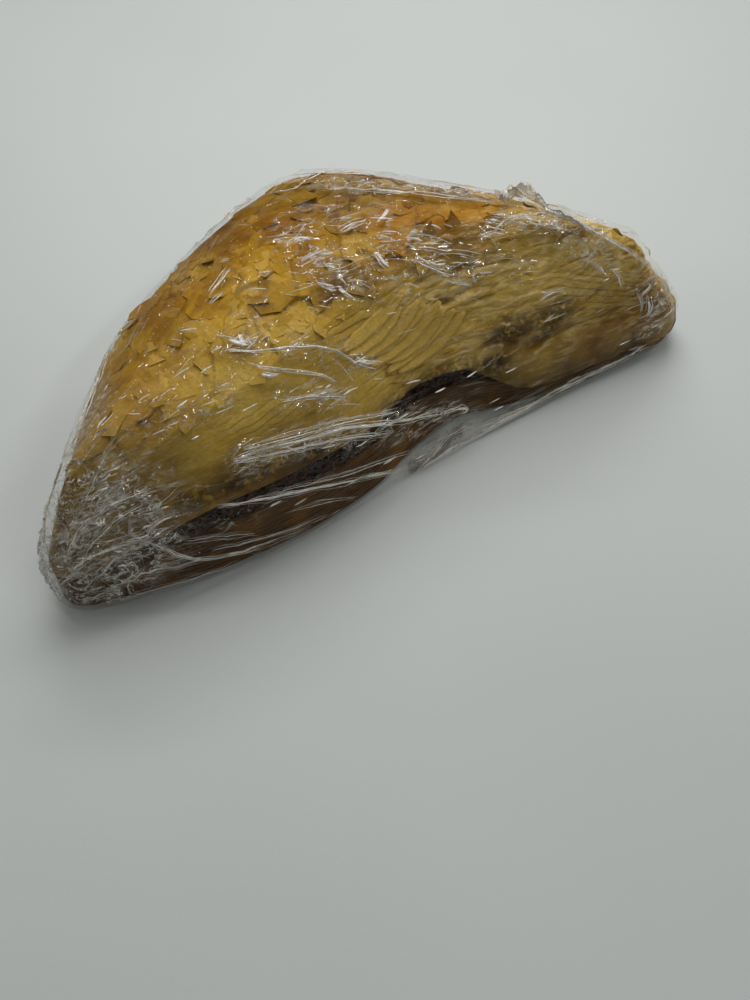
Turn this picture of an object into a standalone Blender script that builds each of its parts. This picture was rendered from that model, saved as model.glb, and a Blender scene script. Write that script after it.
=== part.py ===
"""A slice of baklava in clear cling film: a three-cornered cut with a long front side.

The slice stands on the XY plane with its long cut side towards -Y and +Z up. The origin is the middle
of its footprint, on the surface that it stands on. Four solids nest without touching:

pastry_base   syrup-soaked sheets under the filling
nut_filling   the dark layer that runs through the slice
pastry_top    the flaky sheets above it, stepped back on the front side
cling_film    the film drawn round all of it, with its pockets, folds and loose tail
"""

import math

import bmesh
import bpy
import numpy as np
from mathutils import Matrix, Vector, noise

MM = 0.001

# The slice from above, in metres: three bowed sides between three corners, rounded off
LEFT_CORNER = (-0.0702, -0.0222)
RIGHT_CORNER = (0.0722, -0.0214)
BACK_CORNER = (0.0045, 0.0294)
LEFT_SIDE_BOW = 0.0082
RIGHT_SIDE_BOW = 0.0052
CORNER_SPAN = 0.021
FRONT_BOW = 0.0012
FRONT_BULGE = 0.0068
FRONT_BULGE_AT = -0.030
FRONT_BULGE_WIDTH = 0.034
FRONT_NOTCH = 0.0062
FRONT_NOTCH_AT = 0.0135
FRONT_NOTCH_WIDTH = 0.0105

# Heights, in metres
CROWN_HEIGHT = 0.0392
CROWN_AT = -0.004
CROWN_DROP = 0.0135
CROWN_FALL = 2.6
HALF_LENGTH = 0.0665
FILM_WALL = 0.4 * MM
FILM_GAP = 0.5 * MM
LAYER_GAP = 0.3 * MM
FLOOR_OF_FOOD = FILM_WALL + FILM_GAP

# What changes around the slice, at eight stops: left tip, front left, front middle, front right,
# right tip, right side, back corner, left side
BASE_THICKNESS = [7.5, 11.0, 9.5, 7.0, 6.5, 8.5, 10.0, 9.5]
FILLING_THICKNESS = [2.6, 7.0, 6.0, 4.6, 2.6, 4.0, 5.5, 5.0]
WALL_LEAN = [0.06, 0.14, 0.14, 0.10, 0.06, 0.06, 0.06, 0.08]
RAMP_SHARE = [0.50, 0.56, 0.60, 0.80, 0.50, 0.30, 0.17, 0.26]
SHOULDER_SHARE = [0.78, 0.90, 0.91, 0.91, 0.76, 0.83, 0.88, 0.88]
FILM_POCKET = [0.6, 0.2, 0.2, 0.4, 0.4, 1.0, 0.4, 3.0]

# Where the sheets close in at the top, a narrow curved line along the slice
SPINE_LEFT = -0.054
SPINE_RIGHT = 0.053
SPINE_HALF_WIDTH = 0.6 * MM

# How finely each solid is divided
POINTS_AROUND = 84
FILM_POINTS_AROUND = 68
LEDGES = 9
LEDGE_RAGGEDNESS = 0.85 * MM
CALM_WIDTH = 0.026
CROWN_SHEETS = 4
SHEET_STEP = 0.7 * MM
BASE_SHEETS = 4
NUT_ROUGHNESS = 0.7 * MM
EDGE_INSET = -1.8 * MM
INNER_SHARES = (0.02, 0.4, 1.0)
UNDERSIDE_SLIT = 0.94

# The film leaves the table all round the edge, except at the slice's three corners
REST_INSET = 0.67
CORNER_REST_INSET = 0.10
EDGE_LIFT = 0.25 * MM
LEVEL_WITHIN = 0.02 * MM

# The loose end of the film on the right-hand side: where it starts and ends, how far it stands up
TAIL_FROM = (0.0360, 0.0045)
TAIL_TO = (0.0475, -0.0060)
TAIL_HEIGHTS = [0.4, 2.2, 2.8, 1.8, 2.1, 1.3, 0.9, 0.5]
TAIL_THICKNESS = 0.5 * MM
TAIL_ROOT = 0.2 * MM

PASTRY_TOP_COLOUR = (0.46, 0.26, 0.045, 1.0)
PASTRY_BASE_COLOUR = (0.16, 0.062, 0.014, 1.0)
FILLING_COLOUR = (0.035, 0.018, 0.010, 1.0)
FILM_COLOUR = (0.82, 0.85, 0.86, 1.0)


def clear_scene():
    for obj in list(bpy.data.objects):
        bpy.data.objects.remove(obj)


def smooth_step(low, high, value):
    """0 below low, 1 above high and a smooth rise between."""
    share = np.clip((np.asarray(value, float) - low) / (high - low), 0.0, 1.0)
    return share * share * (3.0 - 2.0 * share)


def rough(x, y, z, size, seed=0.0):
    """Smooth noise from -1 to 1 at each point, with lumps of about the given size."""
    places = zip(np.ravel(x) / size, np.ravel(y) / size, np.ravel(z) / size)
    values = [noise.noise(Vector((a + seed, b - seed, c + 2.0 * seed))) for a, b, c in places]
    return np.array(values).reshape(np.shape(x))


def bowed_side(start, end, bow, count=120):
    """Points from one corner to the next, pushed out to the right of the way by the bow."""
    start, end = np.array(start), np.array(end)
    share = np.linspace(0.0, 1.0, count, endpoint=False)[:, None]
    along = (end - start) / np.linalg.norm(end - start)
    outward = np.array([along[1], -along[0]])
    return start + share * (end - start) + outward * bow * 4.0 * share * (1.0 - share)


def front_side(notch):
    """The long cut side: it swells towards the viewer on the left and is notched on the right."""
    side = bowed_side(LEFT_CORNER, RIGHT_CORNER, FRONT_BOW)
    swell = FRONT_BULGE * np.exp(-(((side[:, 0] - FRONT_BULGE_AT) / FRONT_BULGE_WIDTH) ** 2))
    dent = notch * np.exp(-(((side[:, 0] - FRONT_NOTCH_AT) / FRONT_NOTCH_WIDTH) ** 2))
    side[:, 1] += dent - swell
    return side


def even_steps(points, count, closed):
    """The same line with evenly spaced points."""
    line = np.vstack([points, points[:1]]) if closed else points
    lengths = np.concatenate([[0.0], np.cumsum(np.linalg.norm(np.diff(line, axis=0), axis=1))])
    where = np.linspace(0.0, lengths[-1], count, endpoint=not closed)
    return np.column_stack([np.interp(where, lengths, line[:, axis]) for axis in range(2)])


def rounded(points):
    """The closed outline with its corners rounded, each point averaged over a stretch of it."""
    line = even_steps(points, 720, closed=True)
    perimeter = np.linalg.norm(np.diff(line, axis=0), axis=1).sum()
    reach = int(0.5 * CORNER_SPAN / perimeter * len(line))
    total = sum(np.roll(line, shift, axis=0) for shift in range(-reach, reach + 1))
    return total / (2 * reach + 1)


def footprint(count, notch):
    """The outline from above: from the left tip along the front to the right tip, then along the back."""
    sides = [
        front_side(notch),
        bowed_side(RIGHT_CORNER, BACK_CORNER, RIGHT_SIDE_BOW),
        bowed_side(BACK_CORNER, LEFT_CORNER, LEFT_SIDE_BOW),
    ]
    line = rounded(np.vstack(sides))
    line = np.roll(line, -int(np.argmin(line[:, 0])), axis=0)
    right_tip = int(np.argmax(line[:, 0]))
    half = count // 2
    front = even_steps(line[: right_tip + 1], half + 1, closed=False)
    back = even_steps(np.vstack([line[right_tip:], line[:1]]), half + 1, closed=False)
    return np.vstack([front[:-1], back[:-1]])


def outward_normals(outline):
    along = np.roll(outline, -1, axis=0) - np.roll(outline, 1, axis=0)
    normals = np.column_stack([along[:, 1], -along[:, 0]])
    return normals / np.linalg.norm(normals, axis=1)[:, None]


def around(stops, count):
    """One value for each point of an outline, eased between eight stops."""
    where = np.arange(count) / count * len(stops)
    first = np.floor(where).astype(int)
    ease = smooth_step(0.0, 1.0, where - first)
    values = np.array(stops)
    return values[first % len(stops)] * (1.0 - ease) + values[(first + 1) % len(stops)] * ease


def spine(outline):
    """The narrow closed line that the sheets shrink to: midway between the outline's front and back."""
    count = len(outline)
    half = count // 2
    middle = 0.5 * (outline + np.roll(outline[::-1], 1, axis=0))[: half + 1]
    share = 1.0 - np.abs(np.arange(count) / half - 1.0)
    side = np.where(np.arange(count) < half, -1.0, 1.0)
    gathered = 0.4 * share + 0.6 * (0.5 - 0.5 * np.cos(math.pi * share))
    x = SPINE_LEFT + (SPINE_RIGHT - SPINE_LEFT) * gathered
    y = np.interp(x, middle[:, 0], middle[:, 1])
    y = sum(np.roll(y, shift) for shift in range(-3, 4)) / 7.0
    return np.column_stack([x, y + side * SPINE_HALF_WIDTH * np.sin(math.pi * share)])


def crown(x):
    """The height of the slice's top along its length."""
    reach = np.abs(np.asarray(x, float) - CROWN_AT) / HALF_LENGTH
    return CROWN_HEIGHT - CROWN_DROP * reach**CROWN_FALL


class Slice:
    """The slice's outline, the values that change around it and the rings that its solids are lofted on."""

    def __init__(self, count, notch):
        self.count = count
        self.outline = footprint(count, notch)
        self.outward = outward_normals(self.outline)
        self.inner = spine(self.outline)
        self.base_top = FLOOR_OF_FOOD + around(BASE_THICKNESS, count) * MM
        self.filling_top = self.base_top + around(FILLING_THICKNESS, count) * MM
        self.room = np.linalg.norm(self.outline - self.inner, axis=1)
        self.calm = np.clip(self.room / CALM_WIDTH, 0.25, 1.0) ** 1.5
        self.lean = around(WALL_LEAN, count)
        self.ramp = around(RAMP_SHARE, count)
        self.shoulder = around(SHOULDER_SHARE, count)

    def place(self, share, out=0.0):
        """Points at a share of the way from the outline to the spine, moved out sideways."""
        share = np.broadcast_to(np.asarray(share, float), (self.count,))[:, None]
        out = np.broadcast_to(np.asarray(out, float), (self.count,))[:, None]
        return self.outline * (1.0 - share) + self.inner * share + self.outward * out

    def ring(self, share, height, out=0.0):
        spot = self.place(share, out)
        height = np.broadcast_to(np.asarray(height, float), (self.count,))
        return np.column_stack([spot, height])

    def level(self, height, share):
        """A height around the outline that evens out towards the spine, where front and back meet."""
        mirrored = np.roll(height[::-1], 1)
        blend = 0.5 * smooth_step(0.0, 1.0, share)
        return height * (1.0 - blend) + mirrored * blend

    def wall_share(self, height):
        """How far in the cut wall has leaned at a height between the floor and the filling's top."""
        rise = (np.asarray(height) - FLOOR_OF_FOOD) / (self.filling_top - FLOOR_OF_FOOD)
        return self.lean * rise

    def inside(self, height, share, lift=0.0):
        """A level ring inside the slice, at a share of the way from its wall to the spine."""
        wall = self.wall_share(height)
        inset = EDGE_INSET * (1.0 - share)
        return self.ring(wall + (1.0 - wall) * share, self.level(height, share) + lift, inset)

    def ramp_point(self, climb):
        """Share and height on the stepped side above the filling, at a climb from 0 to 1."""
        share = self.lean + (self.ramp - self.lean) * climb**1.1
        rim = crown(self.place(share)[:, 0]) * self.shoulder
        return share, self.filling_top + (rim - self.filling_top) * climb**0.92

    def crown_point(self, inward):
        """Share and height on the top, from the shoulder at 0 to the spine at 1."""
        share = self.ramp + (1.0 - self.ramp) * inward
        swell = self.shoulder + (1.0 - self.shoulder) * (1.0 - (1.0 - inward) ** 2)
        swell = self.level(swell, inward)
        return share, crown(self.place(share)[:, 0]) * swell


def zip_cap(ring_start, count, flip):
    """Faces that close a ring on the spine by joining its front side to its back side."""
    faces = []
    for i in range(count // 2):
        corners = [i, i + 1, (count - i - 1) % count, (count - i) % count]
        kept = list(dict.fromkeys(corners))
        faces.append([ring_start + c for c in (kept[::-1] if flip else kept)])
    return faces


def triangles(faces, points):
    """The same faces with every four-cornered one cut along its shorter diagonal."""
    cut = []
    for face in faces:
        if len(face) < 4:
            cut.append(face)
            continue
        a, b, c, d = face
        if np.linalg.norm(points[a] - points[c]) <= np.linalg.norm(points[b] - points[d]):
            cut += [[a, b, c], [a, c, d]]
        else:
            cut += [[a, b, d], [b, c, d]]
    return cut


def loft(name, rings, colour, underside):
    """An object from rings that run from its underside, up its sides and in over its top.

    The underside is "flat" (one level face), "zipped" (closed on the spine) or "open".
    """
    count = len(rings[0])
    points = np.vstack(rings)
    faces = []
    for r in range(len(rings) - 1):
        for i in range(count):
            j = (i + 1) % count
            faces.append([r * count + i, r * count + j, (r + 1) * count + j, (r + 1) * count + i])
    if underside == "zipped":
        faces += zip_cap(0, count, flip=True)
    faces += zip_cap((len(rings) - 1) * count, count, flip=False)
    faces = triangles(faces, points)
    if underside == "flat":
        faces.append(list(range(count))[::-1])
    mesh = bpy.data.meshes.new(name)
    mesh.from_pydata([tuple(p) for p in points], [], faces)
    mesh.validate()
    obj = bpy.data.objects.new(name, mesh)
    mesh.materials.append(finish(name, colour))
    return obj


def finish(name, colour):
    material = bpy.data.materials.new(name)
    material.use_nodes = True
    surface = material.node_tree.nodes["Principled BSDF"]
    surface.inputs["Base Color"].default_value = colour
    surface.inputs["Roughness"].default_value = 0.15 if name == "cling_film" else 0.45
    surface.inputs["Metallic"].default_value = 0.0
    surface.inputs["Alpha"].default_value = 0.25 if name == "cling_film" else 1.0
    return material


def pastry_base(slice_):
    """The soaked sheets at the bottom: a low wall of a few pressed layers."""
    rings = [slice_.ring(0.0, FLOOR_OF_FOOD, -0.9 * MM)]
    for sheet in range(BASE_SHEETS):
        ragged = rough(*slice_.outline.T, np.full(slice_.count, sheet * 0.01), 0.009, 3.1)
        out = -0.4 * MM + 0.5 * MM * ragged
        for edge in (0.12, 0.84):
            rise = (sheet + edge) / BASE_SHEETS
            height = FLOOR_OF_FOOD + (slice_.base_top - FLOOR_OF_FOOD) * rise
            tuck = 0.25 * MM if edge > 0.5 else 0.0
            rings.append(slice_.ring(slice_.wall_share(height), height, out - tuck))
    rings += [slice_.inside(slice_.base_top, share) for share in INNER_SHARES]
    return loft("pastry_base", rings, PASTRY_BASE_COLOUR, underside="flat")


def nut_filling(slice_):
    """The dark chopped-nut layer, with a knobbly edge between the sheets."""
    low, high = slice_.base_top + LAYER_GAP, slice_.filling_top - LAYER_GAP
    rings = [slice_.inside(slice_.base_top, share, LAYER_GAP) for share in INNER_SHARES[::-1]]
    for rise in (0.12, 0.50, 0.88):
        height = low + (high - low) * rise
        lumps = rough(*slice_.outline.T, height, 0.0048, 7.7)
        out = -1.1 * MM + NUT_ROUGHNESS * lumps - 0.2 * MM * (2.0 * rise - 1.0) ** 2
        rings.append(slice_.ring(slice_.wall_share(height), height, out))
    rings += [slice_.inside(slice_.filling_top, share, -LAYER_GAP) for share in INNER_SHARES]
    return loft("nut_filling", rings, FILLING_COLOUR, underside="zipped")


def pastry_top(slice_):
    """The flaky sheets: ledges with torn edges up the sides, then broken sheets over the top."""
    rings = [slice_.inside(slice_.filling_top, share) for share in INNER_SHARES[::-1]]
    for ledge in range(LEDGES):
        share, low = slice_.ramp_point(ledge / LEDGES)
        high = slice_.ramp_point((ledge + 1) / LEDGES)[1]
        spot = slice_.place(share)
        torn = rough(*spot.T, np.full(slice_.count, ledge * 0.013), 0.011, 1.3)
        frayed = rough(*spot.T, np.full(slice_.count, ledge * 0.007), 0.0045, 5.9)
        out = LEDGE_RAGGEDNESS * (0.75 * torn + 0.35 * frayed) * slice_.calm - 0.3 * MM
        sag = 0.35 * MM * rough(*spot.T, np.full(slice_.count, ledge * 0.011), 0.016, 2.4)
        sag = sag * min(ledge, LEDGES - 1 - ledge, 1) * slice_.calm
        rings.append(slice_.ring(share, low + sag + 0.12 * (high - low), out))
        rings.append(slice_.ring(share, high + sag - 0.10 * (high - low), out - 0.25 * MM))
    for sheet in range(CROWN_SHEETS):
        start = sheet / CROWN_SHEETS
        wave = rough(*slice_.outline.T, np.full(slice_.count, sheet * 0.03), 0.013, 4.2) * slice_.calm
        inward = np.clip(start + 0.16 * wave + 0.04, 0.02 + 0.7 * start, start + 0.2)
        share, height = slice_.crown_point(inward)
        rings.append(slice_.ring(share, height - SHEET_STEP * min(sheet, 1) * slice_.calm))
        share, height = slice_.crown_point(inward + 0.02)
        rings.append(slice_.ring(share, height))
    share, height = slice_.crown_point(1.0)
    rings.append(slice_.ring(share, height))
    return loft("pastry_top", rings, PASTRY_TOP_COLOUR, underside="zipped")


def resting_share(slice_):
    """How far in from the outline the film rests on the table: a patch that points to the corners."""
    share = np.full(slice_.count, REST_INSET)
    corners = [0, slice_.count // 2, int(np.argmax(slice_.outline[:, 1]))]
    share[corners] = CORNER_REST_INSET
    return share


def film_skin(slice_):
    """The film round the slice: under it, up its sides a little clear of the food and over the top."""
    pocket = around(FILM_POCKET, slice_.count) * MM
    clear = 1.1 * MM
    rings = [slice_.ring(share, FILM_WALL) for share in (UNDERSIDE_SLIT, resting_share(slice_))]
    rings.append(slice_.ring(0.03, FILM_WALL + EDGE_LIFT))
    rings.append(slice_.ring(0.0, FILM_WALL + 1.6 * MM, clear))
    for height, puff in ((0.75 * slice_.base_top, 0.15), (slice_.filling_top, 0.4)):
        rings.append(slice_.ring(slice_.wall_share(height), height, clear + puff * pocket))
    for climb in (0.3, 0.6, 0.85):
        share, height = slice_.ramp_point(climb)
        puff = pocket * math.sin(math.pi * (0.25 + 0.6 * climb))
        rings.append(slice_.ring(share, height + 0.8 * MM, clear + puff))
    for inward in (0.0, 0.2, 0.5, 1.0):
        share, height = slice_.crown_point(inward)
        rings.append(slice_.ring(share, height + 1.3 * MM, clear * (1.0 - inward)))
    return loft("cling_film", rings, FILM_COLOUR, underside="open")


def apply_modifiers(obj):
    """Replace the object's mesh by what its modifiers make of it."""
    graph = bpy.context.evaluated_depsgraph_get()
    mesh = bpy.data.meshes.new_from_object(obj.evaluated_get(graph))
    obj.modifiers.clear()
    obj.data = mesh


def level_underside(obj):
    """Put every point that is all but on the table exactly on it."""
    for vertex in obj.data.vertices:
        if abs(vertex.co.z) < LEVEL_WITHIN:
            vertex.co.z = 0.0


def surface_below(mesh_obj, x, y):
    """Where a line straight down at x and y first meets the object, and the way that spot faces."""
    hit, place, normal, _ = mesh_obj.ray_cast(Vector((x, y, 0.1)), Vector((0.0, 0.0, -1.0)))
    return place, normal


def film_tail(film):
    """The loose twisted end: a thin wavy strip that stands on the film, rooted in its wall."""
    start, end = np.array(TAIL_FROM), np.array(TAIL_TO)
    along = (end - start) / np.linalg.norm(end - start)
    across = np.array([-along[1], along[0]])
    rows = []
    for i, height in enumerate(TAIL_HEIGHTS):
        share = i / (len(TAIL_HEIGHTS) - 1)
        spot = start + share * (end - start) + across * 0.7 * MM * math.sin(5.0 * share)
        foot, facing = surface_below(film, *spot)
        side = Vector((across[0], across[1], 0.0)) * 0.5 * TAIL_THICKNESS
        lift = (facing + Vector((0.15, 0.55, 0.35))).normalized() * height * MM
        root = foot - facing * TAIL_ROOT
        rows.append([root - side, root + side, foot + lift + side, foot + lift - side])
    points = np.array([p[:] for row in rows for p in row])
    faces = []
    for i in range(len(rows) - 1):
        for k in range(4):
            m = (k + 1) % 4
            faces.append([4 * i + k, 4 * i + m, 4 * i + 4 + m, 4 * i + 4 + k])
    faces += [[3, 2, 1, 0], [4 * len(rows) - 4 + k for k in range(4)]]
    mesh = bpy.data.meshes.new("film_tail")
    mesh.from_pydata([tuple(p) for p in points], [], triangles(faces, points))
    tail = bpy.data.objects.new("film_tail", mesh)
    solid = bmesh.new()
    solid.from_mesh(mesh)
    bmesh.ops.recalc_face_normals(solid, faces=solid.faces)
    solid.to_mesh(mesh)
    solid.free()
    return tail


def stand_on_origin(objects):
    """Move everything together so that the middle of its footprint is the origin."""
    spots = np.array([v.co[:] for obj in objects for v in obj.data.vertices])
    low, high = spots.min(axis=0), spots.max(axis=0)
    shift = Vector((-0.5 * (low[0] + high[0]), -0.5 * (low[1] + high[1]), -low[2]))
    for obj in objects:
        obj.data.transform(Matrix.Translation(shift))


def build():
    clear_scene()
    part = bpy.data.collections.new("baklava_slice")
    bpy.context.scene.collection.children.link(part)
    food = Slice(POINTS_AROUND, FRONT_NOTCH)
    wrap = Slice(FILM_POINTS_AROUND, 0.0)
    film = film_skin(wrap)
    for obj in (pastry_base(food), nut_filling(food), pastry_top(food), film):
        part.objects.link(obj)
    wall = film.modifiers.new("wall", "SOLIDIFY")
    wall.thickness = FILM_WALL
    wall.offset = 1.0
    wall.use_even_offset = True
    apply_modifiers(film)
    level_underside(film)
    bpy.context.view_layer.update()
    tail = film_tail(film)
    part.objects.link(tail)
    joined = film.modifiers.new("tail", "BOOLEAN")
    joined.operation = "UNION"
    joined.solver = "EXACT"
    joined.object = tail
    apply_modifiers(film)
    bpy.data.objects.remove(tail)
    stand_on_origin(list(part.objects))


build()
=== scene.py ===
"""A three-cornered slice of baklava wrapped in clear cling film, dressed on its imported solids.

The slice lies with its long cut side towards -Y. Every surface starts from the same outline and the
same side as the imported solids, in metres, and is then broken up into sheets, nuts and folds of film.
"""

import logging
import math
from collections.abc import Callable
from dataclasses import dataclass
from enum import Enum

import bpy
import numpy as np
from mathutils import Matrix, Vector
from mathutils.bvhtree import BVHTree


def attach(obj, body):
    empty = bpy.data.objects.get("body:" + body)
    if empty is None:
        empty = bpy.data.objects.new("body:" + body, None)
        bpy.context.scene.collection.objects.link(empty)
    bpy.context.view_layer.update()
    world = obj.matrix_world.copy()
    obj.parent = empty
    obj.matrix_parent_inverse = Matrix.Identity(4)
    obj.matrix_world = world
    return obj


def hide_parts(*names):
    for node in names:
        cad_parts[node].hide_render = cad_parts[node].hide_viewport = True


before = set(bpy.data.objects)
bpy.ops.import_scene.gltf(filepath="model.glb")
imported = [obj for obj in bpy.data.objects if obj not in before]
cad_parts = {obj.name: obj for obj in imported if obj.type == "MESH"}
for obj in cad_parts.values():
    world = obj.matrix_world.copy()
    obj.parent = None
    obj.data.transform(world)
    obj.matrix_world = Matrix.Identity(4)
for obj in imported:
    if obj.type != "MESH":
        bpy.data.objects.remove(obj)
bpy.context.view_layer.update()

LOG = logging.getLogger("baklava")
MM = 0.001
CENTRING = np.array((-0.00063683, 0.00101116, 0.0))
THIN_WALL = 0.08 * MM
FAR = 1e9
Colour = tuple[float, float, float, float]
Array = np.ndarray
Obj = bpy.types.Object
Material = bpy.types.Material
Socket = bpy.types.NodeSocket


def linear(red: float, green: float, blue: float) -> Colour:
    """Turn display values from 0 to 255 into the linear colour that a shader takes.

    Args:
        red: The red display value.
        green: The green display value.
        blue: The blue display value.

    Returns:
        The linear colour with an alpha of one.
    """
    shares = [value / 255.0 for value in (red, green, blue)]
    made = [s / 12.92 if s <= 0.04045 else ((s + 0.055) / 1.055) ** 2.4 for s in shares]
    return (made[0], made[1], made[2], 1.0)


def turned(x: object, y: object, angle: float) -> tuple:
    """A place or a direction turned about the origin, anticlockwise."""
    return x * math.cos(angle) - y * math.sin(angle), x * math.sin(angle) + y * math.cos(angle)


def along_line(line: Array) -> Array:
    """How far each point of a line lies from its start, measured along it."""
    return np.concatenate([[0.0], np.cumsum(np.linalg.norm(np.diff(line, axis=0), axis=1))])


def placed_along(line: Array, where: Array) -> Array:
    """Points on a line at given lengths from its start."""
    lengths = along_line(line)
    return np.column_stack([np.interp(where, lengths, line[:, axis]) for axis in range(line.shape[1])])


# ---- numbers that vary smoothly over a surface


def smooth_step(low: float, high: float, value: Array) -> Array:
    """Rise smoothly from 0 below low to 1 above high."""
    share = np.clip((np.asarray(value, float) - low) / (high - low), 0.0, 1.0)
    return share * share * (3.0 - 2.0 * share)


def scattered(cells: Array, seed: int) -> Array:
    """Give every lattice cell its own scattered whole number.

    Args:
        cells: Whole lattice places, three for each cell.
        seed: Which scatter is used.

    Returns:
        One whole number of 32 bits for each cell.
    """
    cell = cells.astype(np.int64).astype(np.uint32)
    mixed = cell[..., 0] * np.uint32(374761393) + cell[..., 1] * np.uint32(668265263)
    mixed = mixed + cell[..., 2] * np.uint32(2246822519) + np.uint32((seed * 40503 + 17) % 2**31)
    mixed = (mixed ^ (mixed >> np.uint32(15))) * np.uint32(2246822519)
    mixed = (mixed ^ (mixed >> np.uint32(13))) * np.uint32(3266489917)
    return mixed ^ (mixed >> np.uint32(16))


def noise(points: Array, size: object, seed: int = 0) -> Array:
    """Smooth noise with lumps of a given size.

    Args:
        points: Places in metres, three numbers each.
        size: The size of a lump in metres, one number or one for each axis.
        seed: Which noise is used.

    Returns:
        Numbers from about -1 to 1, one for each place.
    """
    spot = np.asarray(points, float) / np.asarray(size, float)
    cell = np.floor(spot).astype(np.int64)
    part = spot - cell
    ease = part**3 * (part * (part * 6.0 - 15.0) + 10.0)
    total = np.zeros(spot.shape[:-1])
    for corner in np.ndindex(2, 2, 2):
        step = np.array(corner)
        mixed = scattered(cell + step, seed)
        slopes = [((mixed >> np.uint32(8 * axis)) & np.uint32(255)) / 127.5 - 1.0 for axis in range(3)]
        weight = np.prod(np.where(step == 1, ease, 1.0 - ease), axis=-1)
        total += weight * np.sum(np.stack(slopes, axis=-1) * (part - step), axis=-1)
    return np.clip(total * 1.5, -1.0, 1.0)


def cloud(points: Array, size: object, layers: int = 3, seed: int = 0) -> Array:
    """Noise with finer noise laid over it.

    Args:
        points: Places in metres, three numbers each.
        size: The size of the largest lumps in metres.
        layers: How many noises are added, each half as large as the last.
        seed: Which noise is used.

    Returns:
        Numbers from about -1 to 1, one for each place.
    """
    sizes = np.asarray(size, float)
    total = sum(noise(points, sizes / 2**k, seed + k) * 0.5**k for k in range(layers))
    return total / (2.0 - 0.5 ** (layers - 1))


def torn_cells(spots: Array, size: float, seed: int) -> tuple[Array, Array, Array]:
    """Divide a plane into uneven torn patches.

    Args:
        spots: Places in metres, two numbers each.
        size: The usual width of a patch in metres.
        seed: Which division is used.

    Returns:
        For each place a number from 0 to 1 that is its patch's own, how near it is to the next patch,
        and the way from the patch's middle to the place.
    """
    spot = np.asarray(spots, float) / size
    base = np.floor(spot).astype(np.int64)
    best = np.full(spot.shape[:-1], FAR)
    second = best.copy()
    value = np.zeros(best.shape)
    way = np.zeros(spot.shape)
    for step in np.ndindex(3, 3):
        cell = base + np.array(step) - 1
        mixed = scattered(np.concatenate([cell, np.zeros(cell.shape[:-1] + (1,), int)], axis=-1), seed)
        wander = [((mixed >> np.uint32(8 * axis)) & np.uint32(255)) / 255.0 for axis in range(2)]
        apart = spot - cell - 0.05 - 0.9 * np.stack(wander, axis=-1)
        gap = np.linalg.norm(apart, axis=-1)
        closer = gap < best
        second = np.where(closer, best, np.minimum(second, gap))
        value = np.where(closer, ((mixed >> np.uint32(16)) & np.uint32(1023)) / 1023.0, value)
        way = np.where(closer[..., None], apart, way)
        best = np.minimum(best, gap)
    return value, second - best, way * size


# ---- the slice's own form


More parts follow.
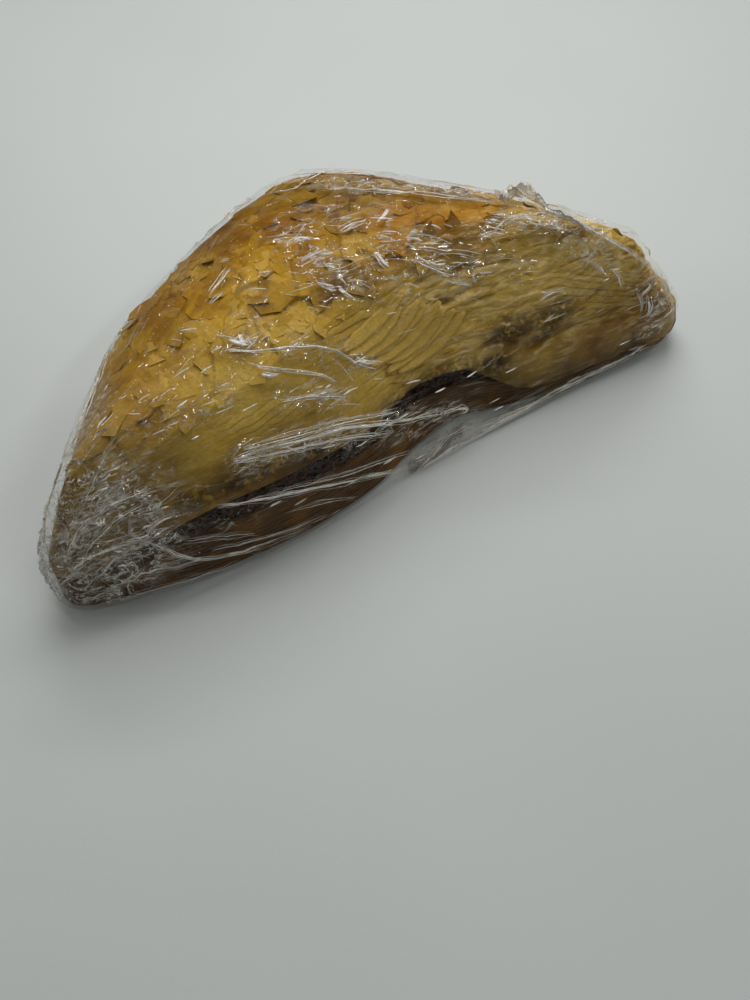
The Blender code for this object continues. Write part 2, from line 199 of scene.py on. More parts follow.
@dataclass
class SliceForm:
    """The outline, the cut side and the crown of the slice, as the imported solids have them."""

    count: int
    notch: float = 6.2 * MM
    corners: tuple = ((-0.0702, -0.0222), (0.0722, -0.0214), (0.0045, 0.0294))
    bows: tuple = (0.0012, 0.0052, 0.0082)
    bulge: tuple = (0.0068, -0.030, 0.034)
    notch_at: tuple = (0.0135, 0.0105)
    corner_span: float = 0.021
    crown_top: tuple = (0.0392, -0.004, 0.0135, 2.6, 0.0665)
    floor: float = 0.9 * MM
    base_thickness: tuple = (7.5, 11.0, 9.5, 7.0, 6.5, 8.5, 10.0, 9.5)
    filling_thickness: tuple = (2.6, 7.0, 6.0, 4.6, 2.6, 4.0, 5.5, 5.0)
    wall_lean: tuple = (0.06, 0.14, 0.14, 0.10, 0.06, 0.06, 0.06, 0.08)
    ramp_share: tuple = (0.50, 0.56, 0.60, 0.80, 0.50, 0.30, 0.17, 0.26)
    shoulder_share: tuple = (0.78, 0.90, 0.91, 0.91, 0.76, 0.83, 0.88, 0.88)
    fullness: tuple = (0.4, 0.0, 0.0, 0.0, 0.7, 0.9, 0.7, 1.7)
    spine_ends: tuple = (-0.054, 0.053)
    spine_half_width: float = 0.6 * MM
    hidden_shares: tuple = (0.02, 0.4, 1.0)
    tuck: float = 1.8 * MM
    full_room: float = 26 * MM
    side_points: int = 120
    even_points: int = 720

    def __post_init__(self) -> None:
        """Work out the outline and everything that changes around it."""
        self.outline = self._footprint()
        along = np.roll(self.outline, -1, axis=0) - np.roll(self.outline, 1, axis=0)
        sideways = np.column_stack([along[:, 1], -along[:, 0]])
        self.outward = sideways / np.linalg.norm(sideways, axis=1)[:, None]
        self.inner = self._spine()
        self.base_top = self.floor + self.around(self.base_thickness) * MM
        self.filling_top = self.base_top + self.around(self.filling_thickness) * MM
        self.room = np.linalg.norm(self.outline - self.inner, axis=1)
        self.calm = np.clip(self.room / self.full_room, 0.25, 1.0) ** 1.5
        self.lean = self.around(self.wall_lean)
        self.ramp = self.around(self.ramp_share)
        self.shoulder = self.around(self.shoulder_share)

    def _side(self, start: tuple, end: tuple, bow: float) -> Array:
        """One bowed side between two corners.

        Args:
            start: The corner that it starts from.
            end: The corner that it runs to.
            bow: How far its middle stands out.

        Returns:
            Its points, without the last corner.
        """
        first, last = np.array(start), np.array(end)
        share = np.linspace(0.0, 1.0, self.side_points, endpoint=False)[:, None]
        along = (last - first) / np.linalg.norm(last - first)
        outward = np.array([along[1], -along[0]])
        return first + share * (last - first) + outward * bow * 4.0 * share * (1.0 - share)

    def _even(self, points: Array, count: int, closed: bool) -> Array:
        """The same line with evenly spaced points.

        Args:
            points: The line.
            count: How many points it gets.
            closed: Whether its end joins its start.

        Returns:
            The new points.
        """
        line = np.vstack([points, points[:1]]) if closed else points
        return placed_along(line, np.linspace(0.0, along_line(line)[-1], count, endpoint=not closed))

    def _footprint(self) -> Array:
        """The closed outline from above, from the left tip along the front and back again.

        Returns:
            Its points, as many as the form has.
        """
        left, right, back = self.corners
        front = self._side(left, right, self.bows[0])
        swell, swell_at, swell_width = self.bulge
        dent_at, dent_width = self.notch_at
        front[:, 1] -= swell * np.exp(-(((front[:, 0] - swell_at) / swell_width) ** 2))
        front[:, 1] += self.notch * np.exp(-(((front[:, 0] - dent_at) / dent_width) ** 2))
        sides = [front, self._side(right, back, self.bows[1]), self._side(back, left, self.bows[2])]
        line = self._even(np.vstack(sides), self.even_points, closed=True)
        perimeter = np.linalg.norm(np.diff(line, axis=0), axis=1).sum()
        reach = int(0.5 * self.corner_span / perimeter * len(line))
        line = sum(np.roll(line, shift, axis=0) for shift in range(-reach, reach + 1)) / (2 * reach + 1)
        line = np.roll(line, -int(np.argmin(line[:, 0])), axis=0)
        tip = int(np.argmax(line[:, 0]))
        half = self.count // 2
        near = self._even(line[: tip + 1], half + 1, closed=False)
        far = self._even(np.vstack([line[tip:], line[:1]]), half + 1, closed=False)
        return np.vstack([near[:-1], far[:-1]])

    def _spine(self) -> Array:
        """The narrow closed line along the middle that the sheets close in on.

        Returns:
            One point for each point of the outline.
        """
        half = self.count // 2
        middle = 0.5 * (self.outline + np.roll(self.outline[::-1], 1, axis=0))[: half + 1]
        share = 1.0 - np.abs(np.arange(self.count) / half - 1.0)
        side = np.where(np.arange(self.count) < half, -1.0, 1.0)
        gathered = 0.4 * share + 0.6 * (0.5 - 0.5 * np.cos(math.pi * share))
        x = self.spine_ends[0] + (self.spine_ends[1] - self.spine_ends[0]) * gathered
        y = np.interp(x, middle[:, 0], middle[:, 1])
        reach = max(3, round(3 * self.count / 84))
        y = sum(np.roll(y, shift) for shift in range(-reach, reach + 1)) / (2 * reach + 1)
        return np.column_stack([x, y + side * self.spine_half_width * np.sin(math.pi * share)])

    def around(self, stops: tuple) -> Array:
        """One value for each point of the outline, eased between evenly spaced stops.

        Args:
            stops: The values, from the left tip along the front and back again.

        Returns:
            The values in between.
        """
        where = np.arange(self.count) / self.count * len(stops)
        first = np.floor(where).astype(int)
        ease = smooth_step(0.0, 1.0, where - first)
        values = np.array(stops, float)
        return values[first % len(stops)] * (1.0 - ease) + values[(first + 1) % len(stops)] * ease

    def swell(self, share: object) -> Array:
        """How far the food swells out towards the film, fading towards the spine."""
        out = self.around(self.fullness) * MM
        return out * (1.0 - np.clip(share, 0.0, 1.0)) ** 0.7

    def ring(self, share: object, height: object, out: object = 0.0) -> Array:
        """A closed ring of points.

        Args:
            share: How far from the outline to the spine, one number or one for each point.
            height: Its height in metres, one number or one for each point.
            out: How far it is moved out sideways.

        Returns:
            The ring's points.
        """
        out = np.broadcast_to(np.asarray(out, float) + self.swell(share), (self.count,))[:, None]
        share = np.broadcast_to(np.asarray(share, float), (self.count,))[:, None]
        spot = self.outline * (1.0 - share) + self.inner * share + self.outward * out
        return np.column_stack([spot, np.broadcast_to(np.asarray(height, float), (self.count,))])

    def crown(self, x: Array) -> Array:
        """The height of the slice's top along its length."""
        top, middle, drop, fall, half = self.crown_top
        return top - drop * (np.abs(x - middle) / half) ** fall

    def level(self, height: Array, share: float) -> Array:
        """A height around the outline that evens out where front and back meet."""
        blend = 0.5 * smooth_step(0.0, 1.0, share)
        return height * (1.0 - blend) + np.roll(height[::-1], 1) * blend

    def lean_at(self, height: Array) -> Array:
        """How far the cut wall leans in at a height, as a share of the way to the spine."""
        return self.lean * (height - self.floor) / (self.filling_top - self.floor)

    def hidden_rings(self, height: Array, lift: float = 0.0) -> list:
        """Level rings inside the slice, from just within its wall in to the spine.

        Args:
            height: Their height around the outline.
            lift: How far they are moved up from it.

        Returns:
            The rings.
        """
        lean = self.lean_at(height)
        rings = []
        for share in self.hidden_shares:
            level = self.level(height, share) + lift
            rings.append(self.ring(lean + (1.0 - lean) * share, level, -self.tuck * (1.0 - share)))
        return rings

    def side(self, climb: object) -> Array:
        """A ring on the stepped side above the filling.

        Args:
            climb: How far up it lies, from 0 to 1, one number or one for each point.

        Returns:
            The ring's points.
        """
        climb = np.clip(np.asarray(climb, float), 0.0, 1.0)
        share = self.lean + (self.ramp - self.lean) * climb**1.1
        rim = self.crown(self.ring(share, 0.0)[:, 0]) * self.shoulder
        return self.ring(share, self.filling_top + (rim - self.filling_top) * climb**0.92)

    def top(self, inward: object) -> Array:
        """A ring on the top.

        Args:
            inward: How far in it lies, from the shoulder at 0 to the spine at 1.

        Returns:
            The ring's points.
        """
        inward = np.clip(np.asarray(inward, float), 0.0, 1.0)
        share = self.ramp + (1.0 - self.ramp) * inward
        swell = self.shoulder + (1.0 - self.shoulder) * (1.0 - (1.0 - inward) ** 2)
        swell = self.level(swell, inward)
        return self.ring(share, self.crown(self.ring(share, 0.0)[:, 0]) * swell)


# ---- meshes


def surface_normals(rows: Array) -> Array:
    """The outward direction at each point of rows of rings.

    Args:
        rows: Rings of points from the bottom up, each closed.

    Returns:
        A unit direction for each point.
    """
    around = np.roll(rows, -1, axis=1) - np.roll(rows, 1, axis=1)
    up = np.gradient(rows, axis=0)
    facing = np.cross(around, up)
    length = np.linalg.norm(facing, axis=-1, keepdims=True)
    return facing / np.maximum(length, 1e-12)


def link(obj: Obj) -> Obj:
    """Put an object in the scene."""
    bpy.context.scene.collection.objects.link(obj)
    return obj


def shell(name: str, rows: Array, material: Material) -> Obj:
    """A closed surface from rings that run from its underside, up its sides and in over its top.

    Args:
        name: The piece's name.
        rows: Rings of points, each closed; the first and last lie on the spine.
        material: The finish of the whole surface.

    Returns:
        The new object.
    """
    rings, count = rows.shape[:2]
    ring_start = (np.arange(rings - 1) * count)[:, None]
    i = np.arange(count)[None, :]
    j = (i + 1) % count
    quads = np.stack([ring_start + i, ring_start + j, ring_start + count + j, ring_start + count + i], -1)
    faces = quads.reshape(-1, 4).tolist()
    last = (rings - 1) * count
    for k in range(count // 2):
        corners = list(dict.fromkeys([k, k + 1, (count - k - 1) % count, (count - k) % count]))
        faces.append([last + c for c in corners])
        faces.append(corners[::-1])
    mesh = bpy.data.meshes.new(name)
    mesh.from_pydata((rows.reshape(-1, 3) + CENTRING).tolist(), [], faces)
    mesh.materials.append(material)
    mesh.shade_smooth()
    return link(bpy.data.objects.new(name, mesh))


def paint(obj: Obj, name: str, values: Array) -> None:
    """Keep one number, or one vector, for each point of a piece.

    Args:
        obj: The piece.
        name: The attribute's name, which its finish reads.
        values: The numbers, in the order of the piece's points.
    """
    kind = "FLOAT_VECTOR" if values.shape[-1:] == (3,) and values.ndim > 1 else "FLOAT"
    field = "vector" if kind == "FLOAT_VECTOR" else "value"
    layer = obj.data.attributes.new(name, kind, "POINT")
    layer.data.foreach_set(field, values.astype(np.float32).ravel())


def points_of(obj: Obj) -> Array:
    """The places of a piece's points.

    Args:
        obj: The piece.

    Returns:
        Three numbers for each point, in metres.
    """
    places = np.empty(len(obj.data.vertices) * 3, np.float32)
    obj.data.vertices.foreach_get("co", places)
    return places.reshape(-1, 3).astype(float)


def painted(obj: Obj, name: str) -> Array:
    """The numbers that were painted on a piece.

    Args:
        obj: The piece.
        name: The attribute's name.

    Returns:
        One number for each point.
    """
    values = np.empty(len(obj.data.vertices), np.float32)
    obj.data.attributes[name].data.foreach_get("value", values)
    return values


def tree_of(obj: Obj) -> BVHTree:
    """A search tree over a piece's faces."""
    faces = [tuple(polygon.vertices) for polygon in obj.data.polygons]
    return BVHTree.FromPolygons([tuple(p) for p in points_of(obj)], faces)


def normal_at(tree: BVHTree, place: Array) -> Array:
    """The direction that a surface faces in, nearest to a place."""
    return np.array(tree.find_nearest(Vector(place))[1])


def strip_faces(first: int, length: int, width: int) -> list:
    """The faces of a strip whose points run across it row by row, from its first point on."""
    corners = [first + k * width + m for k in range(length - 1) for m in range(width - 1)]
    return [[a, a + 1, a + width + 1, a + width] for a in corners]


def walled(name: str, points: list, faces: list, material: Material) -> Obj:
    """Thin sheets given a wall, so that they are closed.

    Args:
        name: The piece's name.
        points: The sheets' points.
        faces: Their faces.
        material: Their finish.

    Returns:
        The new object.
    """
    mesh = bpy.data.meshes.new(name)
    mesh.from_pydata(points, [], faces)
    mesh.materials.append(material)
    piece = link(bpy.data.objects.new(name, mesh))
    wall = piece.modifiers.new("wall", "SOLIDIFY")
    wall.thickness = THIN_WALL
    wall.offset = 0.0
    graph = bpy.context.evaluated_depsgraph_get()
    solid = bpy.data.meshes.new_from_object(piece.evaluated_get(graph))
    piece.modifiers.clear()
    piece.data = solid
    solid.shade_smooth()
    return piece


# ---- the photograph's camera


@dataclass(frozen=True)
class Viewpoint:
    """Where the photograph was taken from; it also finds a spot of the picture on the slice."""

    place: tuple = (-0.05187, -0.11364, 0.16857)
    tilt: float = math.radians(30.0)
    turn: float = math.radians(-27.243)
    lens: float = 36.0
    sensor: float = 36.0
    picture: tuple = (750.0, 1000.0)

    def make(self) -> None:
        """Make the scene's camera."""
        data = bpy.data.cameras.new("photo_camera")
        data.lens = self.lens
        data.sensor_width = self.sensor
        data.clip_start = 0.01
        camera = link(bpy.data.objects.new("photo_camera", data))
        camera.location = self.place
        camera.rotation_euler = (self.tilt, 0.0, self.turn)
        bpy.context.scene.camera = camera

    def ray(self, across: float, down: float) -> tuple[Vector, Vector]:
        """The line of sight through a spot of the picture.

        Args:
            across: The spot's distance from the picture's left edge, in picture points.
            down: Its distance from the top edge.

        Returns:
            Where the line starts and its direction.
        """
        reach = self.lens / self.sensor * max(self.picture)
        x = (across - 0.5 * self.picture[0]) / reach
        y = (0.5 * self.picture[1] - down) / reach
        y, z = turned(y, -1.0, self.tilt)
        x, y = turned(x, y, self.turn)
        return Vector(self.place), Vector((x, y, z)).normalized()

    def on(self, tree: BVHTree, line: list) -> Array:
        """The places on a surface under the points of a drawn line, or nearest to where it passes by.

        Args:
            tree: The surface.
            line: Spots of the picture, across and down.

        Returns:
            One place for each spot, in order.
        """
        places = []
        for spot in line:
            start, way = self.ray(*spot)
            hit = tree.ray_cast(start, way)[0]
            if hit is None:
                hit = Vector((0.0, 0.0, 0.02))
                for _ in range(8):
                    hit = tree.find_nearest(start + way * (hit - start).dot(way))[0]
            places.append(hit[:])
        return np.array(places)


# ---- nodes


class NodeMaker:
    """Adds nodes to one node tree, settings first and then their sockets."""

    tree: bpy.types.NodeTree

    def add(self, kind: str, settings: dict | None = None, sockets: dict | None = None) -> bpy.types.Node:
        """Add a node.

        Args:
            kind: The node's type.
            settings: Its own settings, by name.
            sockets: Values or links, by the socket's name or number.

        Returns:
            The new node.
        """
        node = self.tree.nodes.new(kind)
        for key, setting in (settings or {}).items():
            setattr(node, key, setting)
        for key, value in (sockets or {}).items():
            self.feed(node.inputs[key], value)
        return node

    def feed(self, socket: Socket, value: object) -> None:
        """Link a socket, or set its value.

        Args:
            socket: The socket of a node.
            value: What it is linked to, or its own value.
        """
        if isinstance(value, Value):
            self.tree.links.new(value.socket, socket)
        elif isinstance(value, Socket):
            self.tree.links.new(value, socket)
        else:
            socket.default_value = value


def math_step(operation: str, swapped: bool = False) -> Callable:
    """Write the method that adds one kind of Math node.

    Args:
        operation: The node's operation.
        swapped: Whether the number that the method belongs to comes last.

    Returns:
        The method.
    """

    def step(value: "Value", *others: object) -> "Value":
        """Add the node for a number, and for another where it takes two."""
        terms = (*others, value) if swapped else (value, *others)
        made = value.maker.add("ShaderNodeMath", {"operation": operation}, dict(enumerate(terms)))
        return Value(value.maker, made.outputs[0])

    return step


@dataclass(frozen=True)
class Value:
    """A number socket that Python's operators add Math nodes to."""

    maker: NodeMaker
    socket: Socket

    __add__ = __radd__ = math_step("ADD")
    __sub__ = math_step("SUBTRACT")
    __rsub__ = math_step("SUBTRACT", swapped=True)
    __mul__ = __rmul__ = math_step("MULTIPLY")
    __pow__ = math_step("POWER")
    __abs__ = math_step("ABSOLUTE")
    most = math_step("MAXIMUM")
    least = math_step("MINIMUM")


class Shader(NodeMaker):
    """The node tree of one material."""

    def __init__(self, name: str) -> None:
        """Start an empty material.

        Args:
            name: The material's name.
        """
        self.material = bpy.data.materials.new(name)
        self.material.use_nodes = True
        self.tree = self.material.node_tree
        self.tree.nodes.clear()
        self.place = self.add("ShaderNodeTexCoord").outputs["Object"]

    def attribute(self, name: str) -> Value:
        """A number that was painted on the piece."""
        return Value(self, self.add("ShaderNodeAttribute", {"attribute_name": name}).outputs["Fac"])

    def direction(self, name: str) -> Socket:
        """A vector that was painted on the piece."""
        return self.add("ShaderNodeAttribute", {"attribute_name": name}).outputs["Vector"]

    def mapped(self, vector: object, turn: tuple = (0, 0, 0), scale: tuple = (1, 1, 1)) -> Socket:
        """A vector turned and stretched."""
        sockets = {"Vector": vector, "Rotation": turn, "Scale": scale}
        return self.add("ShaderNodeMapping", {}, sockets).outputs["Vector"]

    def noise(self, vector: object, scale: float, detail: float = 3.0, twist: float = 0.0) -> Value:
        """Noise from about 0 to 1, with the given number of lumps in a metre."""
        sockets = {"Vector": vector, "Scale": scale, "Detail": detail, "Distortion": twist}
        return Value(self, self.add("ShaderNodeTexNoise", {}, sockets).outputs[0])

    def cells(self, vector: object, scale: float) -> Value:
        """The distance to the nearest of scattered points."""
        made = self.add("ShaderNodeTexVoronoi", {}, {"Vector": vector, "Scale": scale})
        return Value(self, made.outputs["Distance"])

    def ridges(self, vector: object, scale: float, sharp: float, twist: float = 0.0) -> Value:
        """Thin raised lines where noise crosses its middle."""
        return (1.0 - abs(self.noise(vector, scale, 1.5, twist) * 2.0 - 1.0)) ** sharp

    def facets(self, vector: object, scale: float) -> Value:
        """The height of flat cells that each lean their own way.

        Args:
            vector: Where they are read.
            scale: How many cells there are in a metre.

        Returns:
            The height, which is 0 at the middle of each cell.
        """
        cell = self.add("ShaderNodeTexVoronoi", {}, {"Vector": vector, "Scale": scale}).outputs
        away = self.vectors("SUBTRACT", vector, cell["Position"]).outputs[0]
        lean = self.vectors("SUBTRACT", cell["Color"], (0.5, 0.5, 0.5)).outputs[0]
        return Value(self, self.vectors("DOT_PRODUCT", away, lean).outputs["Value"])

    def vectors(self, operation: str, first: object, second: object) -> bpy.types.Node:
        """A Vector Math node of two vectors."""
        return self.add("ShaderNodeVectorMath", {"operation": operation}, {0: first, 1: second})

    def rise(self, value: object, low: float, high: float) -> Value:
        """A smooth rise from 0 to 1.

        Args:
            value: The number to place on the rise.
            low: Where the rise is 0.
            high: Where it is 1.

        Returns:
            The share of the rise.
        """
        sockets = {"Value": value, "From Min": low, "From Max": high}
        made = self.add("ShaderNodeMapRange", {"interpolation_type": "SMOOTHSTEP"}, sockets)
        return Value(self, made.outputs["Result"])

    def blend(self, share: object, first: object, second: object, kind: str = "MIX") -> Socket:
        """Mix two colours, with a share of the second."""
        settings = {"data_type": "RGBA", "blend_type": kind, "clamp_factor": True}
        return self.add("ShaderNodeMix", settings, {0: share, 6: first, 7: second}).outputs[2]

    def bump(self, height: object, depth: float, strength: float = 1.0) -> Socket:
        """Relief from a height from 0 to 1, over a depth in metres."""
        sockets = {"Height": height, "Distance": depth, "Strength": strength}
        return self.add("ShaderNodeBump", {}, sockets).outputs["Normal"]

    def surface(self, sockets: dict) -> Socket:
        """A Principled shader with the given sockets."""
        return self.add("ShaderNodeBsdfPrincipled", {}, sockets).outputs["BSDF"]

    def done(self, shader: object) -> Material:
        """Finish the material with its shader."""
        self.add("ShaderNodeOutputMaterial", {}, {"Surface": shader})
        return self.material

    def glazed(
        self, colour: object, rough: object, relief: object, coat: object, coat_rough: float
    ) -> Material:
        """Finish the material as food with a thin coat of syrup.

        Args:
            colour: Its colour.
            rough: How rough it is under the coat.
            relief: Its surface direction.
            coat: How much syrup lies on it.
            coat_rough: How rough the syrup is.

        Returns:
            The finished material.
        """
        sockets = {"Base Color": colour, "Roughness": rough, "Normal": relief, "Coat Weight": coat}
        sockets |= {"Coat Roughness": coat_rough, "Specular IOR Level": 0.15}
        return self.done(self.surface(sockets))

    def see_through(self, cover: Value, sheen: object) -> Material:
        """Finish the material with a shader that covers only a share of the surface."""
        clear = self.add("ShaderNodeBsdfTransparent").outputs[0]
        return self.done(self.add("ShaderNodeMixShader", {}, {0: cover, 1: clear, 2: sheen}).outputs[0])


class Growth(NodeMaker):
    """A Geometry Nodes tree with named inputs."""

    def __init__(self, name: str, inputs: dict) -> None:
        """Start a tree.

        Args:
            name: The tree's name.
            inputs: Each input's name, with its socket type and its value.
        """
        self.tree = bpy.data.node_groups.new(name, "GeometryNodeTree")
        self.tree.is_modifier = True
        self.tree.interface.new_socket("Geometry", in_out="INPUT", socket_type="NodeSocketGeometry")
        self.tree.interface.new_socket("Geometry", in_out="OUTPUT", socket_type="NodeSocketGeometry")
        self.values = {}
        for label, (kind, value) in inputs.items():
            item = self.tree.interface.new_socket(label, in_out="INPUT", socket_type=kind)
            self.values[item.identifier] = value
        self.given = self.add("NodeGroupInput").outputs

    def finish(self, shapes: object) -> None:
        """End the tree with plain, dressed meshes.

        Args:
            shapes: The socket that gives them.
        """
        real = self.add("GeometryNodeRealizeInstances", {}, {"Geometry": shapes}).outputs[0]
        sockets = {"Geometry": real, "Material": self.given["Material"]}
        dressed = self.add("GeometryNodeSetMaterial", {}, sockets).outputs[0]
        self.add("NodeGroupOutput", {}, {"Geometry": dressed})

    def grow(self, host: Obj, name: str) -> Obj:
        """Bake what the tree makes on a host.

        Args:
            host: The mesh that the tree starts from; it stays as it was.
            name: The new piece's name.

        Returns:
            The new piece, a plain mesh.
        """
        modifier = host.modifiers.new(name, "NODES")
        modifier.node_group = self.tree
        for identifier, value in self.values.items():
            modifier[identifier] = value
        graph = bpy.context.evaluated_depsgraph_get()
        mesh = bpy.data.meshes.new_from_object(host.evaluated_get(graph))
        host.modifiers.remove(modifier)
        mesh.name = name
        return link(bpy.data.objects.new(name, mesh))


def random_value(maker: Growth, low: object, high: object, seed: int) -> Socket:
    """A random number for each point, between two numbers."""
    sockets = {2: low, 3: high, 8: seed}
    return maker.add("FunctionNodeRandomValue", {"data_type": "FLOAT"}, sockets).outputs[1]


@dataclass(frozen=True)
class Scatter:
    """Small shapes spread over a surface, each with its own size, spin and tone."""

    name: str
    spacing: float
    smallest: float
    largest: float
    tilt: float
    seed: int
    crowding: float = 2.5

    def spread(self, host: Obj, shapes: list[Obj], material: Material) -> Obj:
        """Spread the shapes over a host where its "cover" is over zero.

        Args:
            host: The surface.
            shapes: The shapes to choose from, one unit in radius.
            material: Their finish.

        Returns:
            One piece with all of them.
        """
        kinds = bpy.data.collections.new(self.name + "_kinds")
        for shape in shapes:
            kinds.objects.link(shape)
        sizes = {"Spacing": self.spacing, "Density": self.crowding / self.spacing**2, "Tilt": self.tilt}
        sizes |= {"Smallest": self.smallest, "Largest": self.largest}
        inputs = {label: ("NodeSocketFloat", size) for label, size in sizes.items()}
        inputs["Kinds"] = ("NodeSocketCollection", kinds)
        inputs["Seed"] = ("NodeSocketInt", self.seed)
        inputs["Material"] = ("NodeSocketMaterial", material)
        tree = Growth(self.name, inputs)
        given = tree.given
        cover = tree.add("GeometryNodeInputNamedAttribute", {"data_type": "FLOAT"}, {"Name": "cover"})
        sockets = {"Mesh": given["Geometry"], "Distance Min": given["Spacing"], "Seed": given["Seed"]}
        sockets |= {"Density Max": given["Density"], "Density Factor": cover.outputs["Attribute"]}
        spread = tree.add("GeometryNodeDistributePointsOnFaces", {"distribute_method": "POISSON"}, sockets)
        back = tree.add("ShaderNodeMath", {"operation": "MULTIPLY"}, {0: given["Tilt"], 1: -1.0}).outputs[0]
        angles = {"Z": random_value(tree, 0.0, math.tau, self.seed + 3)}
        for number, axis in enumerate("XY", 1):
            angles[axis] = random_value(tree, back, given["Tilt"], self.seed + number)
        spin = tree.add("ShaderNodeCombineXYZ", {}, angles)
        turn = tree.add("FunctionNodeEulerToRotation", {}, {0: spin.outputs[0]})
        sockets = {"Rotation": spread.outputs["Rotation"], "Rotate By": turn.outputs[0]}
        facing = tree.add("FunctionNodeRotateRotation", {"rotation_space": "LOCAL"}, sockets)
        listed = {"Collection": given["Kinds"], "Separate Children": True, "Reset Children": True}
        kinds_node = tree.add("GeometryNodeCollectionInfo", {}, listed)
        size = random_value(tree, given["Smallest"], given["Largest"], self.seed + 4)
        sockets = {"Points": spread.outputs["Points"], "Instance": kinds_node.outputs[0], "Scale": size}
        sockets |= {"Pick Instance": True, "Rotation": facing.outputs[0]}
        placed = tree.add("GeometryNodeInstanceOnPoints", {}, sockets)
        tone = random_value(tree, 0.0, 1.0, self.seed + 5)
        sockets = {"Geometry": placed.outputs[0], "Name": "sheet", "Value": tone}
        settings = {"data_type": "FLOAT", "domain": "INSTANCE"}
        toned = tree.add("GeometryNodeStoreNamedAttribute", settings, sockets)
        tree.finish(toned.outputs[0])
        made = tree.grow(host, self.name)
        bpy.data.collections.remove(kinds)
        return made


def loose_shape(name: str, points: Array, faces: list) -> Obj:
    """A small shape that isn't in the scene, to be spread by a scatter.

    Args:
        name: The shape's name.
        points: Its points, one unit in radius.
        faces: Its faces.

    Returns:
        The new object, with flat faces.
    """
    mesh = bpy.data.meshes.new(name)
    mesh.from_pydata(points.tolist(), [], faces)
    return bpy.data.objects.new(name, mesh)


# ---- finishes


@dataclass(frozen=True)
class GoldenPastry:
    """Baked sheets soaked with syrup: ochre, with straw edges, amber wet patches and brown rims."""

    name: str = "golden_pastry"
    ochre: Colour = linear(186, 144, 30)
    deep: Colour = linear(134, 92, 16)
    straw: Colour = linear(220, 182, 94)
    olive: Colour = linear(252, 216, 112)
    amber: Colour = linear(186, 122, 0)
    russet: Colour = linear(88, 52, 10)
    # painted highlight and painted shade: the crumbly side turns paler where its torn relief stands high and
    # darker where it sinks
    painted_crest_highlight: Colour = linear(255, 222, 146)
    painted_groove_shade: Colour = linear(146, 90, 14)
    # painted shade: the darkest colour, for undercuts between sheets, low crags, cracks between torn patches
    # and the underside over the nuts
    gap: Colour = linear(66, 36, 12)
    pit: Colour = linear(40, 24, 10)

    def make(self) -> Material:
        """Build the material.

        Returns:
            The finish.
        """
        s = Shader(self.name)
        sheet = s.attribute("sheet")
        patches = s.noise(s.place, 130.0, 5.0, 0.6)
        colour = s.blend(s.rise(patches, 0.38, 0.64), self.ochre, self.deep)
        colour = s.blend(s.rise(sheet, 0.55, 1.0) * 0.55, colour, self.straw)
        colour = s.blend(s.rise(sheet, 0.35, 0.0) * 0.35, colour, self.deep)
        mottled = 0.45 + 0.6 * s.noise(s.place, 300.0, 3.0)
        colour = s.blend(s.attribute("olive") * mottled, colour, self.olive)
        veins = s.noise(s.direction("leaves"), 420.0, 3.0, 1.2)
        colour = s.blend(s.rise(veins, 0.52, 0.72) * 0.3, colour, self.straw)
        colour = s.blend(s.rise(veins, 0.46, 0.28) * 0.3, colour, self.deep)
        torn = s.noise(s.mapped(s.place, (0.0, 0.0, 0.3), (0.4, 1.0, 1.3)), 420.0, 4.0, 1.2)
        crumbly = s.attribute("crumbly")
        # painted highlight on the high parts of the torn relief, painted shade in its low parts
        colour = s.blend(crumbly * s.rise(torn, 0.46, 0.62) * 0.9, colour, self.painted_crest_highlight)
        colour = s.blend(crumbly * s.rise(torn, 0.44, 0.30) * 0.75, colour, self.painted_groove_shade)
        colour = s.blend(s.attribute("lip") * 0.45, colour, self.straw)
        colour = s.blend(s.attribute("amber") * 0.9, colour, self.amber)
        colour = s.blend(s.attribute("russet") * (0.55 + 0.5 * patches), colour, self.russet)
        # painted shade in the undercuts, grooves and cracks that the sheets paint as gap
        colour = s.blend(s.attribute("gap"), colour, self.gap)
        grain = s.noise(s.mapped(s.place, scale=(1.0, 1.0, 2.0)), 1400.0, 5.0)
        blisters = s.cells(s.place, 520.0)
        colour = s.blend(s.rise(grain, 0.35, 0.75) * 0.2, colour, self.deep, "MULTIPLY")
        crumbs = s.rise(s.noise(s.place, 620.0, 3.0, 0.4), 0.36, 0.48)
        colour = s.blend(s.attribute("pit") * crumbs, colour, self.pit)
        relief = s.bump(grain * 0.5 + blisters * 0.3 + veins * 0.5 + crumbly * torn * 3.0, 0.25 * MM, 0.8)
        wet = s.rise(s.noise(s.place, 210.0, 3.0, 0.5), 0.40, 0.62)
        return s.glazed(colour, 0.55 - 0.2 * wet, relief, 0.02 + 0.2 * wet, 0.12)


@dataclass(frozen=True)
class SoakedPastry:
    """The pressed bottom sheets, dark amber-brown with syrup."""

    name: str = "soaked_pastry"
    brown: Colour = linear(100, 63, 10)
    amber: Colour = linear(136, 92, 14)
    dark: Colour = linear(72, 43, 6)

    def make(self) -> Material:
        """Build the material.

        Returns:
            The finish.
        """
        s = Shader(self.name)
        layers = s.mapped(s.place, scale=(0.06, 0.06, 1.0))
        lines = s.noise(layers, 900.0, 3.0, 0.3)
        colour = s.blend(s.rise(lines, 0.25, 0.75), self.dark, self.brown)
        colour = s.blend(s.rise(s.noise(s.place, 150.0, 4.0), 0.45, 0.7) * 0.7, colour, self.amber)
        # painted shade in the recesses between the pressed sheets
        colour = s.blend(s.attribute("gap"), colour, self.dark)
        relief = s.bump(lines * 0.7 + s.noise(s.place, 900.0, 3.0) * 0.4, 0.25 * MM, 0.7)
        return s.glazed(colour, 0.30 + 0.2 * lines, relief, 0.15, 0.1)


